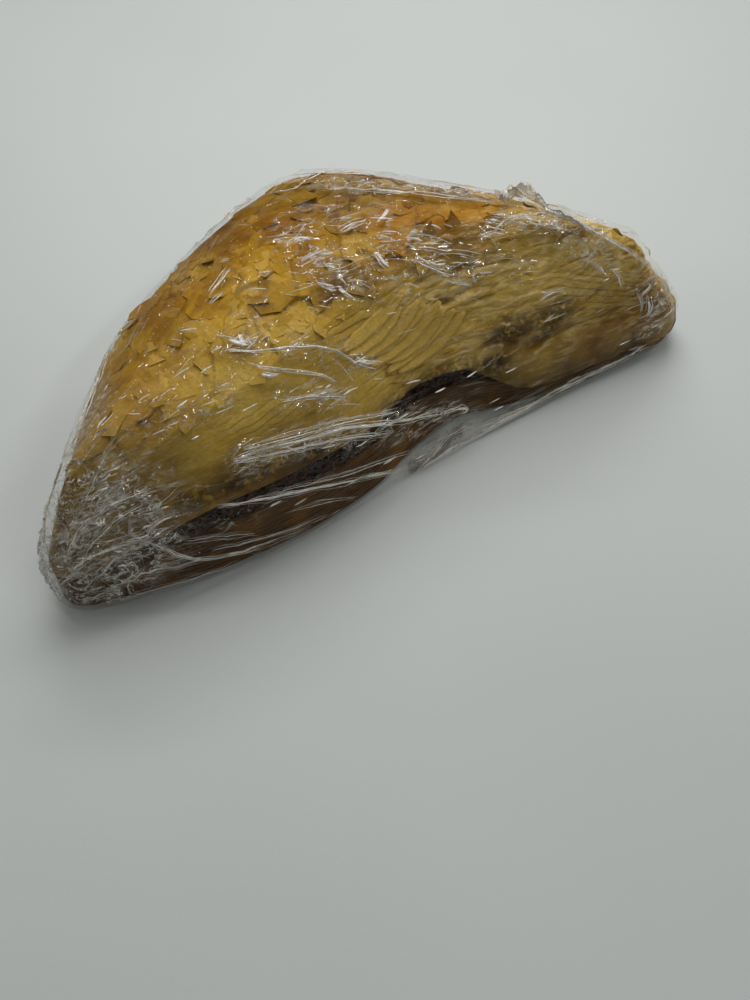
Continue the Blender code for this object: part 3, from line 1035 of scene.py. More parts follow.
@dataclass(frozen=True)
class NutPaste:
    """Chopped nuts in dark syrup."""

    name: str = "nut_paste"
    dark: Colour = linear(34, 16, 5)
    brown: Colour = linear(82, 44, 14)
    pale: Colour = linear(140, 104, 52)

    def make(self) -> Material:
        """Build the material.

        Returns:
            The finish.
        """
        s = Shader(self.name)
        crumbs = s.noise(s.place, 700.0, 4.0)
        colour = s.blend(s.rise(crumbs, 0.42, 0.72), self.dark, self.brown)
        colour = s.blend(s.rise(s.attribute("sheet"), 0.86, 1.0) * 0.7, colour, self.pale)
        relief = s.bump(crumbs + s.cells(s.place, 900.0), 0.3 * MM, 0.8)
        return s.glazed(colour, 0.3 + 0.3 * crumbs, relief, 0.2, 0.15)


@dataclass(frozen=True)
class ClearFilm:
    """Cling film: clear, with fine creases, hazy where it is bunched and yellowish over syrup."""

    name: str = "clear_film"
    tint: Colour = (0.96, 0.91, 0.80, 1.0)
    syrup: Colour = linear(210, 200, 140)
    # painted shade: a grey-brown veil for the film where shade is painted
    shaded: Colour = linear(112, 100, 92)
    base_cover: float = 0.009
    haze_cover: float = 0.48
    crease_depth: float = 0.40 * MM

    def make(self) -> Material:
        """Build the material.

        Returns:
            The finish.
        """
        s = Shader(self.name)
        haze = s.attribute("haze")
        lines = s.ridges(s.direction("flow"), 1.0, 6.0, 0.3)
        crush = s.attribute("crush")
        crumple = s.ridges(s.place, 230.0, 5.0, 1.4)
        askew = s.mapped(s.place, (0.0, 0.0, 0.47), (0.32, 1.0, 1.0))
        shattered = s.ridges(askew, 520.0, 4.0, 1.6)
        gathered = (crush + haze).least(1.0)
        leaning = s.facets(askew, 560.0) * (0.24 + 0.8 * gathered)
        height = lines * 0.5 + crumple * gathered * 0.7 + s.noise(s.place, 120.0, 1.0) * 0.8
        relief = s.bump(height * self.crease_depth + leaning, 1.0)
        edge = Value(s, s.add("ShaderNodeLayerWeight", {}, {"Blend": 0.22}).outputs["Fresnel"])
        uneven = s.rise(s.noise(s.place, 90.0, 2.0), 0.48, 0.64)
        plain = 1.0 - 0.4 * s.attribute("lengthwise")
        creased = (lines**7.0) * (0.01 + 0.97 * uneven) * plain * 0.6
        crushed = 0.01 + haze + crush
        creased = creased + (crumple**8.0) * crushed * 0.8 + (shattered**8.0) * crushed * 1.1
        clouded = s.rise(s.noise(s.place, 320.0, 3.0), 0.46, 0.66)
        cover = self.base_cover + edge * 0.10 + haze * (0.10 + 0.9 * clouded) * self.haze_cover
        cover = (cover + creased).least(0.92)
        colour = s.blend(s.attribute("syrup"), self.tint, self.syrup)
        # painted shade: the film turns grey-brown and covers more where the shade marks lie
        shade = s.attribute("shade")
        colour = s.blend(shade * 0.9, colour, self.shaded)
        cover = (cover + shade * (0.25 + 0.4 * clouded)).least(0.92)
        metallic = (1.0 - haze * 0.5 - creased * 0.8 - shade * 0.5).most(0.25)
        rough = 0.07 + 0.18 * haze
        sheen = s.surface({"Base Color": colour, "Metallic": metallic, "Roughness": rough, "Normal": relief})
        return s.see_through(cover, sheen)


@dataclass(frozen=True)
class BunchedFilm:
    """Film gathered into a thread or a flap, so that it shows as a silvery line."""

    name: str = "bunched_film"
    cover: float = 0.95
    tint: Colour = (1.0, 0.96, 0.86, 1.0)

    def make(self) -> Material:
        """Build the material.

        Returns:
            The finish.
        """
        s = Shader(self.name)
        wrinkles = s.ridges(s.place, 700.0, 3.0, 0.5)
        relief = s.bump(wrinkles, 0.2 * MM)
        broken = s.rise(s.noise(s.place, 200.0, 3.0), 0.36, 0.56)
        sockets = {"Base Color": self.tint, "Metallic": 0.12, "Roughness": 0.16, "Normal": relief}
        sheen = s.surface(sockets | {"Coat Weight": 1.0})
        cover = (self.cover * (0.42 + 0.72 * broken) + wrinkles * 0.1).least(1.0)
        return s.see_through(cover, sheen)


@dataclass(frozen=True)
class SyrupBead:
    """A drop of clear amber syrup between the pastry and the film."""

    name: str = "syrup_bead"
    amber: Colour = linear(212, 150, 40)
    pale: Colour = linear(226, 196, 120)

    def make(self) -> Material:
        """Build the material.

        Returns:
            The finish.
        """
        s = Shader(self.name)
        colour = s.blend(s.attribute("sheet"), self.amber, self.pale)
        relief = s.bump(s.noise(s.place, 1500.0, 2.0), 0.05 * MM)
        shader = s.surface({"Base Color": colour, "Roughness": 0.12, "Normal": relief, "Coat Weight": 1.0})
        return s.done(shader)


@dataclass(frozen=True)
class PaleFloor:
    """A plain pale surface with a faint grain."""

    name: str = "pale_floor"
    pale: Colour = linear(210, 214, 211)
    worn: Colour = linear(204, 208, 205)

    def make(self) -> Material:
        """Build the material.

        Returns:
            The finish.
        """
        s = Shader(self.name)
        clouds = s.noise(s.place, 6.0, 4.0)
        grain = s.noise(s.place, 900.0, 3.0)
        colour = s.blend(s.rise(clouds, 0.35, 0.7), self.pale, self.worn)
        relief = s.bump(grain, 0.05 * MM, 0.5)
        shader = s.surface({"Base Color": colour, "Roughness": 0.42 + 0.1 * grain, "Normal": relief})
        return s.done(shader)


# ---- marks placed from the picture


@dataclass(frozen=True)
class Drawn:
    """A line drawn on the picture; its spots are given across and down, one after another."""

    spots: tuple

    def line(self) -> list:
        """The spots in pairs."""
        return list(zip(self.spots[::2], self.spots[1::2]))


@dataclass(frozen=True)
class Mark(Drawn):
    """A patch or a band along a drawn line, that fades out to its width."""

    width: float
    strength: float = 1.0

    def fade(self, tree: BVHTree, view: Viewpoint, places: Array) -> Array:
        """How strongly the mark shows at each place.

        Args:
            tree: The surface that the mark lies on.
            view: The picture's camera.
            places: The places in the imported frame.

        Returns:
            A number from 0 to the mark's strength for each place.
        """
        spots = view.on(tree, self.line())
        if len(spots) > 1:
            steps = [np.linspace(a, b, 8, endpoint=False) for a, b in zip(spots[:-1], spots[1:])]
            spots = np.vstack(steps + [spots[-1:]])
        near = np.full(len(places), FAR)
        for spot in spots:
            near = np.minimum(near, np.sum((places - spot) ** 2, axis=1))
        return self.strength * np.exp(-near / (self.width * MM) ** 2)


def strongest(marks: tuple[Mark, ...], tree: BVHTree, view: Viewpoint, places: Array) -> Array:
    """How strongly the strongest of several marks shows at each place."""
    return np.max([mark.fade(tree, view, places) for mark in marks], axis=0)


# ---- the food


@dataclass
class UpperPastry:
    """The flaky sheets above the filling: stepped sides, a crown of torn sheets and loose flakes."""

    count: int = 640
    layers: int = 12
    crown_rows: int = 46
    lip: float = 0.50 * MM
    undercut: float = 0.50 * MM
    patch: float = 9.5 * MM
    patch_step: float = 0.50 * MM
    patches: tuple = ("amber", "russet", "olive", "pit")
    flake_corners: int = 8
    flake_kinds: int = 6
    amber_marks: tuple[Mark, ...] = (
        Mark((390, 222, 420, 215, 450, 222, 482, 212), 5.0), Mark((400, 240, 388, 228), 4.0, 0.9),
        Mark((215, 240, 250, 225, 300, 240), 7.0, 0.55), Mark((160, 310, 185, 300), 6.0, 0.5),
        Mark((115, 385, 135, 375), 5.0, 0.4), Mark((600, 335, 640, 322, 658, 300), 6.0, 0.6),
        Mark((130, 420, 160, 410), 6.0, 0.35),
    )
    russet_marks: tuple[Mark, ...] = (
        Mark((436, 240, 452, 236, 466, 255, 447, 250), 3.2),
        Mark((200, 250, 220, 225, 250, 198, 300, 190, 360, 186, 430, 190), 7.0, 0.85),
        Mark((430, 190, 500, 205, 560, 225), 4.0, 0.35),
        # painted shade: this band darkens the crown's left side and the left flank
        Mark((108, 405, 135, 340, 175, 280, 215, 238), 6.0, 0.40),
        Mark((100, 430, 150, 450, 220, 470), 5.0, 0.45), Mark((350, 225, 370, 240), 4.0, 0.3),
        Mark((590, 325, 640, 300, 655, 325, 600, 350), 6.5, 0.85),
        Mark((560, 352, 600, 338, 640, 325), 4.5, 0.8), Mark((500, 345, 530, 330, 565, 318), 4.0, 0.85),
        Mark((500, 372, 530, 376, 560, 372, 600, 360, 640, 344), 5.5),
        Mark((75, 560, 95, 520, 112, 485, 170, 475), 6.5, 0.6),
        Mark((120, 505, 180, 490, 240, 472, 300, 452), 5.0, 0.75),
        Mark((150, 532, 185, 516, 225, 500, 270, 482, 320, 460), 4.5),
        Mark((300, 462, 350, 440, 390, 416), 3.4, 0.8),
    )
    olive_marks: tuple[Mark, ...] = (
        Mark((200, 430, 260, 400, 340, 390, 420, 360, 480, 320), 12.0, 0.9),
        Mark((120, 450, 180, 440), 9.0, 0.7), Mark((440, 300, 520, 280, 580, 262, 610, 275), 12.0),
        Mark((345, 345, 390, 325, 425, 305), 6.0),
    )
    pit_marks: tuple[Mark, ...] = (
        Mark((496, 338, 515, 330, 540, 320, 563, 312), 3.2), Mark((530, 342, 556, 326), 2.4, 0.8),
        Mark((180, 505, 215, 492, 240, 480, 275, 466, 320, 450), 2.4, 0.9),
        Mark((395, 408, 430, 390, 470, 374, 500, 362), 2.8), Mark((345, 280, 365, 288), 1.8, 0.5),
    )

    def build(self, view: Viewpoint, material: Material) -> Obj:
        """Build the sheets as one closed surface.

        Args:
            view: The picture's camera, which places the marks.
            material: The pastry's finish.

        Returns:
            The new piece.
        """
        form = SliceForm(self.count)
        steps = (0.0, 0.10, 0.28, 0.52, 0.76, 0.94)
        profile = np.array([-0.8, 1.0, 0.85, 0.5, 0.1, -0.35])
        climbs = np.array([(layer + step) / self.layers for layer in range(self.layers) for step in steps])
        inward = np.linspace(0.0, 1.0, self.crown_rows) ** 0.9
        stations = np.concatenate([climbs, 1.0 + inward])
        ground = np.stack([form.side(min(s, 1.0)) if s < 1.0 else form.top(s - 1.0) for s in stations])
        wobble = cloud(ground * (1.0, 1.0, 0.4), 12 * MM, 4, 5) * form.calm * 2.6 / self.layers
        ease = np.clip(np.minimum(climbs, 1.0 - climbs) * 8.0, 0.0, 1.0)[:, None]
        shifted = climbs[:, None] + wobble[: len(climbs)] * ease
        rows = np.stack([form.side(climb) for climb in shifted] + [form.top(s) for s in inward])
        facing = surface_normals(ground)
        band = np.repeat(np.arange(self.layers), len(steps))
        tag = np.zeros(ground[: len(climbs)].shape)
        tag[..., :2] = ground[: len(climbs), :, :2]
        tag[..., 2] = band[:, None] * 0.037
        reach = 0.45 + 0.9 * cloud(tag, 9 * MM, 2, 21) + 0.55 * cloud(tag, 2.6 * MM, 2, 22)
        shape = np.tile(profile, self.layers)[:, None]
        lips = np.where(shape > 0.0, shape * self.lip * reach, shape * self.undercut)
        fade = np.clip((1.0 - climbs) * 6.0, 0.0, 1.0)[:, None]
        ragged = 0.06 + 1.1 * smooth_step(-0.25, 0.40, cloud(ground[: len(climbs)], 13 * MM, 3, 23))
        ragged *= 0.35 + 0.65 * smooth_step(-0.012, 0.008, ground[: len(climbs), :, 0])
        push = np.zeros(stations.shape + (self.count,))
        push[: len(climbs)] = lips * fade * ragged * form.calm
        crown = rows[len(climbs) :]
        warp = np.stack([cloud(crown, 6 * MM, 2, 31), cloud(crown, 6 * MM, 2, 37)], axis=-1) * 3.2 * MM
        own, edge, way = torn_cells(crown[..., :2] + warp, self.patch, 3)
        small, small_edge, _ = torn_cells(crown[..., :2] + 0.6 * warp, 0.42 * self.patch, 9)
        tilt = 0.10 * np.sum(way * np.stack([np.cos(own * 40.0), np.sin(own * 40.0)], axis=-1), axis=-1)
        blend = np.clip(inward * 5.0, 0.0, 1.0)[:, None] * form.calm
        push[len(climbs) :] = blend * (self.patch_step * (own - 0.6) + tilt + 0.25 * MM * (small - 0.5))
        waves = 0.35 * MM * cloud(ground, 14 * MM, 2, 51) + 0.3 * MM * cloud(ground, 5 * MM, 2, 53)
        push += waves * form.calm
        crumbly = smooth_step(-0.006, 0.016, ground[..., 0]) * smooth_step(0.004, -0.008, ground[..., 1])
        crags = 1.0 - 2.6 * np.abs(cloud(ground * (0.45, 1.0, 1.2), 4.4 * MM, 3, 57))
        push = push * (1.0 - 0.45 * crumbly) + 0.95 * MM * crumbly * (crags - 0.35) * form.calm
        rows = rows + facing * np.clip(push, -1.6 * MM, 0.75 * MM)[..., None]
        under = form.hidden_rings(form.filling_top)[::-1]
        buried = np.zeros((len(under), self.count))
        rows[0] += self.skirt(form)
        piece = shell("upper_pastry", np.concatenate([np.stack(under), rows]), material)
        layer_tone = scattered(np.stack([band] * 3, -1), 5)[:, None] % 1000 / 1000.0
        torn_tone = 0.5 * layer_tone + 0.5 * (0.5 + cloud(tag, 12 * MM, 2, 71))
        tone = np.concatenate([buried, torn_tone, 0.6 * own + 0.4 * small])
        # paler sheet edges; painted highlight on the crests is added below
        lip_and_crest_highlight = np.concatenate([buried, (shape > 0.9) * fade * ragged, 0.0 * own])
        # painted shade in the undercuts between sheets
        gap_shade = (shape < -0.7) * 0.5 * fade * ragged
        # painted shade in the low crags of the crumbly side, painted highlight on the high ones
        groove_shade = (crumbly * smooth_step(0.25, -0.5, crags))[: len(climbs)]
        crest_highlight = (crumbly * smooth_step(0.55, 0.95, crags))[: len(climbs)]
        lip_and_crest_highlight[3 : 3 + len(climbs)] = lip_and_crest_highlight[3 : 3 + len(climbs)] * 0.6 + crest_highlight
        gap_shade = np.clip(gap_shade * (1.0 - 0.5 * crumbly[: len(climbs)]) + 0.6 * groove_shade, 0.0, 1.0)
        # painted shade along the cracks between torn patches
        crack_shade = 0.45 * smooth_step(0.10, 0.0, edge) + 0.2 * smooth_step(0.07, 0.0, small_edge)
        paint(piece, "sheet", tone.ravel())
        paint(piece, "lip", lip_and_crest_highlight.ravel())
        paint(piece, "crumbly", np.concatenate([buried, crumbly]).ravel())
        leaves = np.concatenate([np.stack(under), ground]) * (0.13, 0.13, 0.0)
        leaves[3 : 3 + len(climbs), :, 2] = shifted * 24 * MM
        leaves[3 + len(climbs) :, :, 2] = 24 * MM + 9 * MM * inward[:, None] + 3 * MM * own
        paint(piece, "leaves", leaves.reshape(-1, 3))
        # painted shade: fully dark on the hidden rings under the sheets, then in undercuts, grooves and
        # cracks
        paint(piece, "gap", np.concatenate([buried + 1.0, gap_shade, crack_shade * blend]).ravel())
        self.colour_marks(piece, view)
        cover = np.concatenate([buried, np.full(lips.shape, 0.5), np.ones(own.shape)])
        cover *= smooth_step(0.15, 0.5, form.calm)
        flat = np.sum(surface_normals(rows) * facing, axis=-1)
        cover[3:] *= smooth_step(0.046, 0.040, ground[..., 0]) * smooth_step(0.55, 0.80, facing[..., 2])
        cover[3:] *= smooth_step(0.90, 0.97, flat)
        paint(piece, "cover", cover.ravel())
        return piece

    def skirt(self, form: SliceForm) -> Array:
        """How far the lowest sheets hang over the filling, which they do only towards the right tip.

        Args:
            form: The slice's form.

        Returns:
            How far each point of the lowest ring moves.
        """
        share = smooth_step(0.016, 0.034, form.outline[:, 0]) * smooth_step(0.014, 0.006, form.outline[:, 1])
        drop = (form.filling_top - form.base_top + 2.4 * MM) * share
        out = (1.1 * MM + form.lean * 0.4 * form.room) * share
        return np.column_stack([form.outward * out[:, None], -drop])

    def colour_marks(self, piece: Obj, view: Viewpoint) -> None:
        """Paint the patches on the sheets.

        Args:
            piece: The sheets.
            view: The picture's camera.
        """
        tree = tree_of(piece)
        places = points_of(piece)
        broken = 0.75 + 0.5 * cloud(places, 5 * MM, 3, 81)
        listed = (self.amber_marks, self.russet_marks, self.olive_marks, self.pit_marks)
        for name, marks in zip(self.patches, listed):
            paint(piece, name, np.clip(strongest(marks, tree, view, places) * broken, 0.0, 1.0))

    def flake(self, number: int) -> Obj:
        """One torn flake, a thin curled sheet one unit in radius.

        Args:
            number: Which flake it is.

        Returns:
            The flake.
        """
        random = np.random.default_rng(100 + number)
        corners = self.flake_corners
        angle = (np.arange(corners) + random.uniform(-0.42, 0.42, corners)) / corners * math.tau
        radius = random.uniform(0.4, 1.0, corners)
        rim = np.column_stack([radius * np.cos(angle), 0.7 * radius * np.sin(angle)])
        bend = random.uniform(-0.03, 0.03)
        height = bend * (rim[:, 0] ** 2) + random.uniform(-0.02, 0.02, corners)
        top = np.vstack([np.column_stack([rim, height]), [[0.0, 0.0, 0.01]]])
        bottom = top - (0.0, 0.0, 0.05)
        points = np.vstack([top, bottom])
        under = corners + 1
        pairs = [(k, (k + 1) % corners) for k in range(corners)]
        faces = [[corners, a, b] for a, b in pairs]
        faces += [[under + corners, under + b, under + a] for a, b in pairs]
        faces += [[a, under + a, under + b, b] for a, b in pairs]
        return loose_shape(f"flake_{number}", points, faces)

    def flakes(self, host: Obj, material: Material) -> Obj:
        """Spread loose flakes over the sheets.

        Args:
            host: The sheets.
            material: The pastry's finish.

        Returns:
            The flakes as one piece.
        """
        kinds = [self.flake(number) for number in range(self.flake_kinds)]
        scatter = Scatter("loose_flakes", 2.4 * MM, 1.2 * MM, 4.4 * MM, 0.02, 11)
        piece = scatter.spread(host, kinds, material)
        self.colour_marks_from(host, piece)
        return piece

    def colour_marks_from(self, host: Obj, piece: Obj) -> None:
        """Copy the painted patches from the sheets to what lies on them.

        Args:
            host: The sheets.
            piece: What lies on them.
        """
        tree = tree_of(host)
        first = [polygon.vertices[0] for polygon in host.data.polygons]
        nearest = [tree.find_nearest(Vector(p))[2] for p in points_of(piece)]
        index = np.array([first[face] for face in nearest])
        for name in self.patches:
            paint(piece, name, painted(host, name)[index])
        paint(piece, "leaves", points_of(piece) * (0.13, 0.13, 0.6))


@dataclass
class LaidSheets:
    """The fan of long pale sheets that lie over each other on the slice's front."""

    first: tuple = ((342.0, 350.0), (396.0, 298.0))
    last: tuple = ((394.0, 374.0), (462.0, 312.0))
    count: int = 8
    half_width: float = 1.5 * MM
    points_along: int = 18
    points_across: int = 6

    def build(self, host: Obj, upper: UpperPastry, view: Viewpoint, material: Material) -> Obj:
        """Build the sheets as one piece.

        Args:
            host: The sheets that they lie on.
            upper: The upper pastry, whose patches they take over.
            view: The picture's camera.
            material: The pastry's finish.

        Returns:
            The new piece.
        """
        form = SliceForm(320)
        rows = [form.side(climb) for climb in np.linspace(0.0, 1.0, 40)]
        rows += [form.top(inward) for inward in np.linspace(0.02, 1.0, 20)]
        guide = shell("sheet_guide", np.stack(rows), material)
        tree = tree_of(guide)
        bpy.data.objects.remove(guide)
        points, faces = [], []
        random = np.random.default_rng(19)
        first, last = np.array(self.first), np.array(self.last)
        for number in range(self.count):
            ends = first + (last - first) * number / (self.count - 1)
            way = ends[1] - ends[0]
            ends = ends + random.uniform(-9.0, 9.0, (2, 1)) * way / np.linalg.norm(way)
            share = np.linspace(0.0, 1.0, self.points_along)[:, None]
            bow = np.array([2.0, 1.5]) * (1.0 + number % 3) * np.sin(math.pi * share)
            spots = view.on(tree, (ends[0] + (ends[1] - ends[0]) * share + bow).tolist())
            along = np.gradient(spots, axis=0)
            start = len(points)
            for k, spot in enumerate(spots):
                normal = normal_at(tree, spot)
                side = np.cross(normal, along[k])
                side = side / np.linalg.norm(side)
                narrowed = 0.2 + 0.8 * math.sin(math.pi * k / (self.points_along - 1)) ** 0.6
                width = self.half_width * narrowed * (1.0 + 0.1 * math.sin(5.0 * k))
                for across in np.linspace(-1.0, 1.0, self.points_across):
                    wave = 0.03 * math.sin(2.0 * across + 0.3 * k + 2.0 * number)
                    height = (0.38 - 0.16 * across + wave) * MM
                    points.append((spot + side * across * width + normal * height).tolist())
            faces += strip_faces(start, len(spots), self.points_across)
        piece = walled("laid_sheets", points, faces, material)
        paint(piece, "sheet", np.full(len(piece.data.vertices), 0.8))
        paint(piece, "lip", np.full(len(piece.data.vertices), 1.0))
        upper.colour_marks_from(host, piece)
        return piece


@dataclass
class NutLayer:
    """The dark chopped nuts between the upper and lower sheets."""

    count: int = 640
    inset: float = 1.1 * MM
    lumps: float = 0.7 * MM
    gap: float = 0.3 * MM
    rows: int = 14
    kinds: int = 5

    def build(self, material: Material) -> Obj:
        """Build the layer as one closed surface.

        Args:
            material: The nuts' finish.

        Returns:
            The new piece.
        """
        form = SliceForm(self.count)
        low, high = form.base_top + self.gap, form.filling_top - self.gap
        rings = form.hidden_rings(form.base_top, self.gap)[::-1]
        for rise in np.linspace(0.06, 0.94, self.rows):
            height = low + (high - low) * rise
            lean = form.lean_at(height)
            spot = form.ring(lean, height)
            out = self.lumps * (cloud(spot, 2.6 * MM, 2, 7) + 0.4 * cloud(spot, 6 * MM, 1, 12)) - self.inset
            rings.append(form.ring(lean, height, out - 0.2 * MM * (2.0 * rise - 1.0) ** 2))
        rings += form.hidden_rings(form.filling_top, -self.gap)
        piece = shell("nut_filling_wall", np.stack(rings), material)
        cover = np.zeros((len(rings), self.count))
        cover[4:-4] = 1.0
        paint(piece, "cover", cover.ravel())
        paint(piece, "sheet", 0.0 * cover.ravel())
        return piece

    def chunk(self, number: int) -> Obj:
        """One angular piece of nut, one unit in radius.

        Args:
            number: Which piece it is.

        Returns:
            The piece.
        """
        random = np.random.default_rng(300 + number)
        golden = (1.0 + 5.0**0.5) / 2.0
        corners = []
        for a in (-1.0, 1.0):
            for b in (-golden, golden):
                corners += [(0.0, a, b), (a, b, 0.0), (b, 0.0, a)]
        points = np.array(corners) / math.hypot(1.0, golden)
        faces = []
        for i in range(12):
            for j in range(i + 1, 12):
                for k in range(j + 1, 12):
                    sides = [np.linalg.norm(points[p] - points[q]) for p, q in ((i, j), (j, k), (i, k))]
                    if max(sides) < 1.1:
                        facing = np.cross(points[j] - points[i], points[k] - points[i])
                        inward = np.dot(facing, points[i]) < 0.0
                        faces.append([i, k, j] if inward else [i, j, k])
        points = points * random.uniform(0.6, 1.0, (12, 1)) * (1.0, random.uniform(0.55, 0.9), 0.6)
        return loose_shape(f"nut_{number}", points, faces)

    def chunks(self, host: Obj, material: Material) -> Obj:
        """Spread pieces of nut over the layer's edge.

        Args:
            host: The layer.
            material: The nuts' finish.

        Returns:
            The pieces as one.
        """
        kinds = [self.chunk(number) for number in range(self.kinds)]
        scatter = Scatter("nut_pieces", 1.15 * MM, 0.45 * MM, 1.35 * MM, 0.6, 23)
        return scatter.spread(host, kinds, material)


@dataclass
class LowerPastry:
    """The soaked sheets under the filling, pressed close together."""

    count: int = 640
    sheets: int = 11
    lip: float = 0.20 * MM
    inset: float = 0.9 * MM

    def build(self, material: Material) -> Obj:
        """Build the sheets as one closed surface.

        Args:
            material: The sheets' finish.

        Returns:
            The new piece.
        """
        form = SliceForm(self.count)
        spot = form.ring(0.0, 0.0)
        rings = [form.ring(share, form.floor, -self.inset) for share in (1.0, 0.4, 0.0)]
        gap_shade = [np.zeros(self.count)] * 3
        profile = ((0.02, -0.8), (0.22, 0.8), (0.55, 1.0), (0.80, 0.5))
        for sheet in range(self.sheets):
            for step, push in profile:
                rise = (sheet + step) / self.sheets
                tag = spot + (0.0, 0.0, sheet * 0.029)
                free = min(sheet, 2, self.sheets - 1 - sheet)
                wave = 0.35 / self.sheets * cloud(tag, 15 * MM, 2, 61) * free
                height = form.floor + (form.base_top - form.floor) * np.clip(rise + wave, 0.0, 1.0)
                ragged = 0.5 + 0.9 * cloud(tag, 8 * MM, 3, 63)
                out = -0.45 * MM + self.lip * push * (ragged if push > 0.0 else 1.0)
                out = out + 0.4 * MM * cloud(spot, 9 * MM, 2, 65)
                rings.append(form.ring(form.lean_at(height), height, out))
                # painted shade in the recesses between sheets
                gap_shade.append(np.full(self.count, 0.4 if push < 0.0 else 0.0))
        rings += form.hidden_rings(form.base_top)
        gap_shade += [np.zeros(self.count)] * 3
        piece = shell("lower_pastry", np.stack(rings), material)
        paint(piece, "gap", np.concatenate(gap_shade))
        return piece


# ---- the film


class Lay(Enum):
    """The three ways that the film's creases run."""

    RADIATING = "radiating"
    LEVEL = "level"
    LENGTHWISE = "lengthwise"


LEVEL_TURN = math.radians(-27.0)


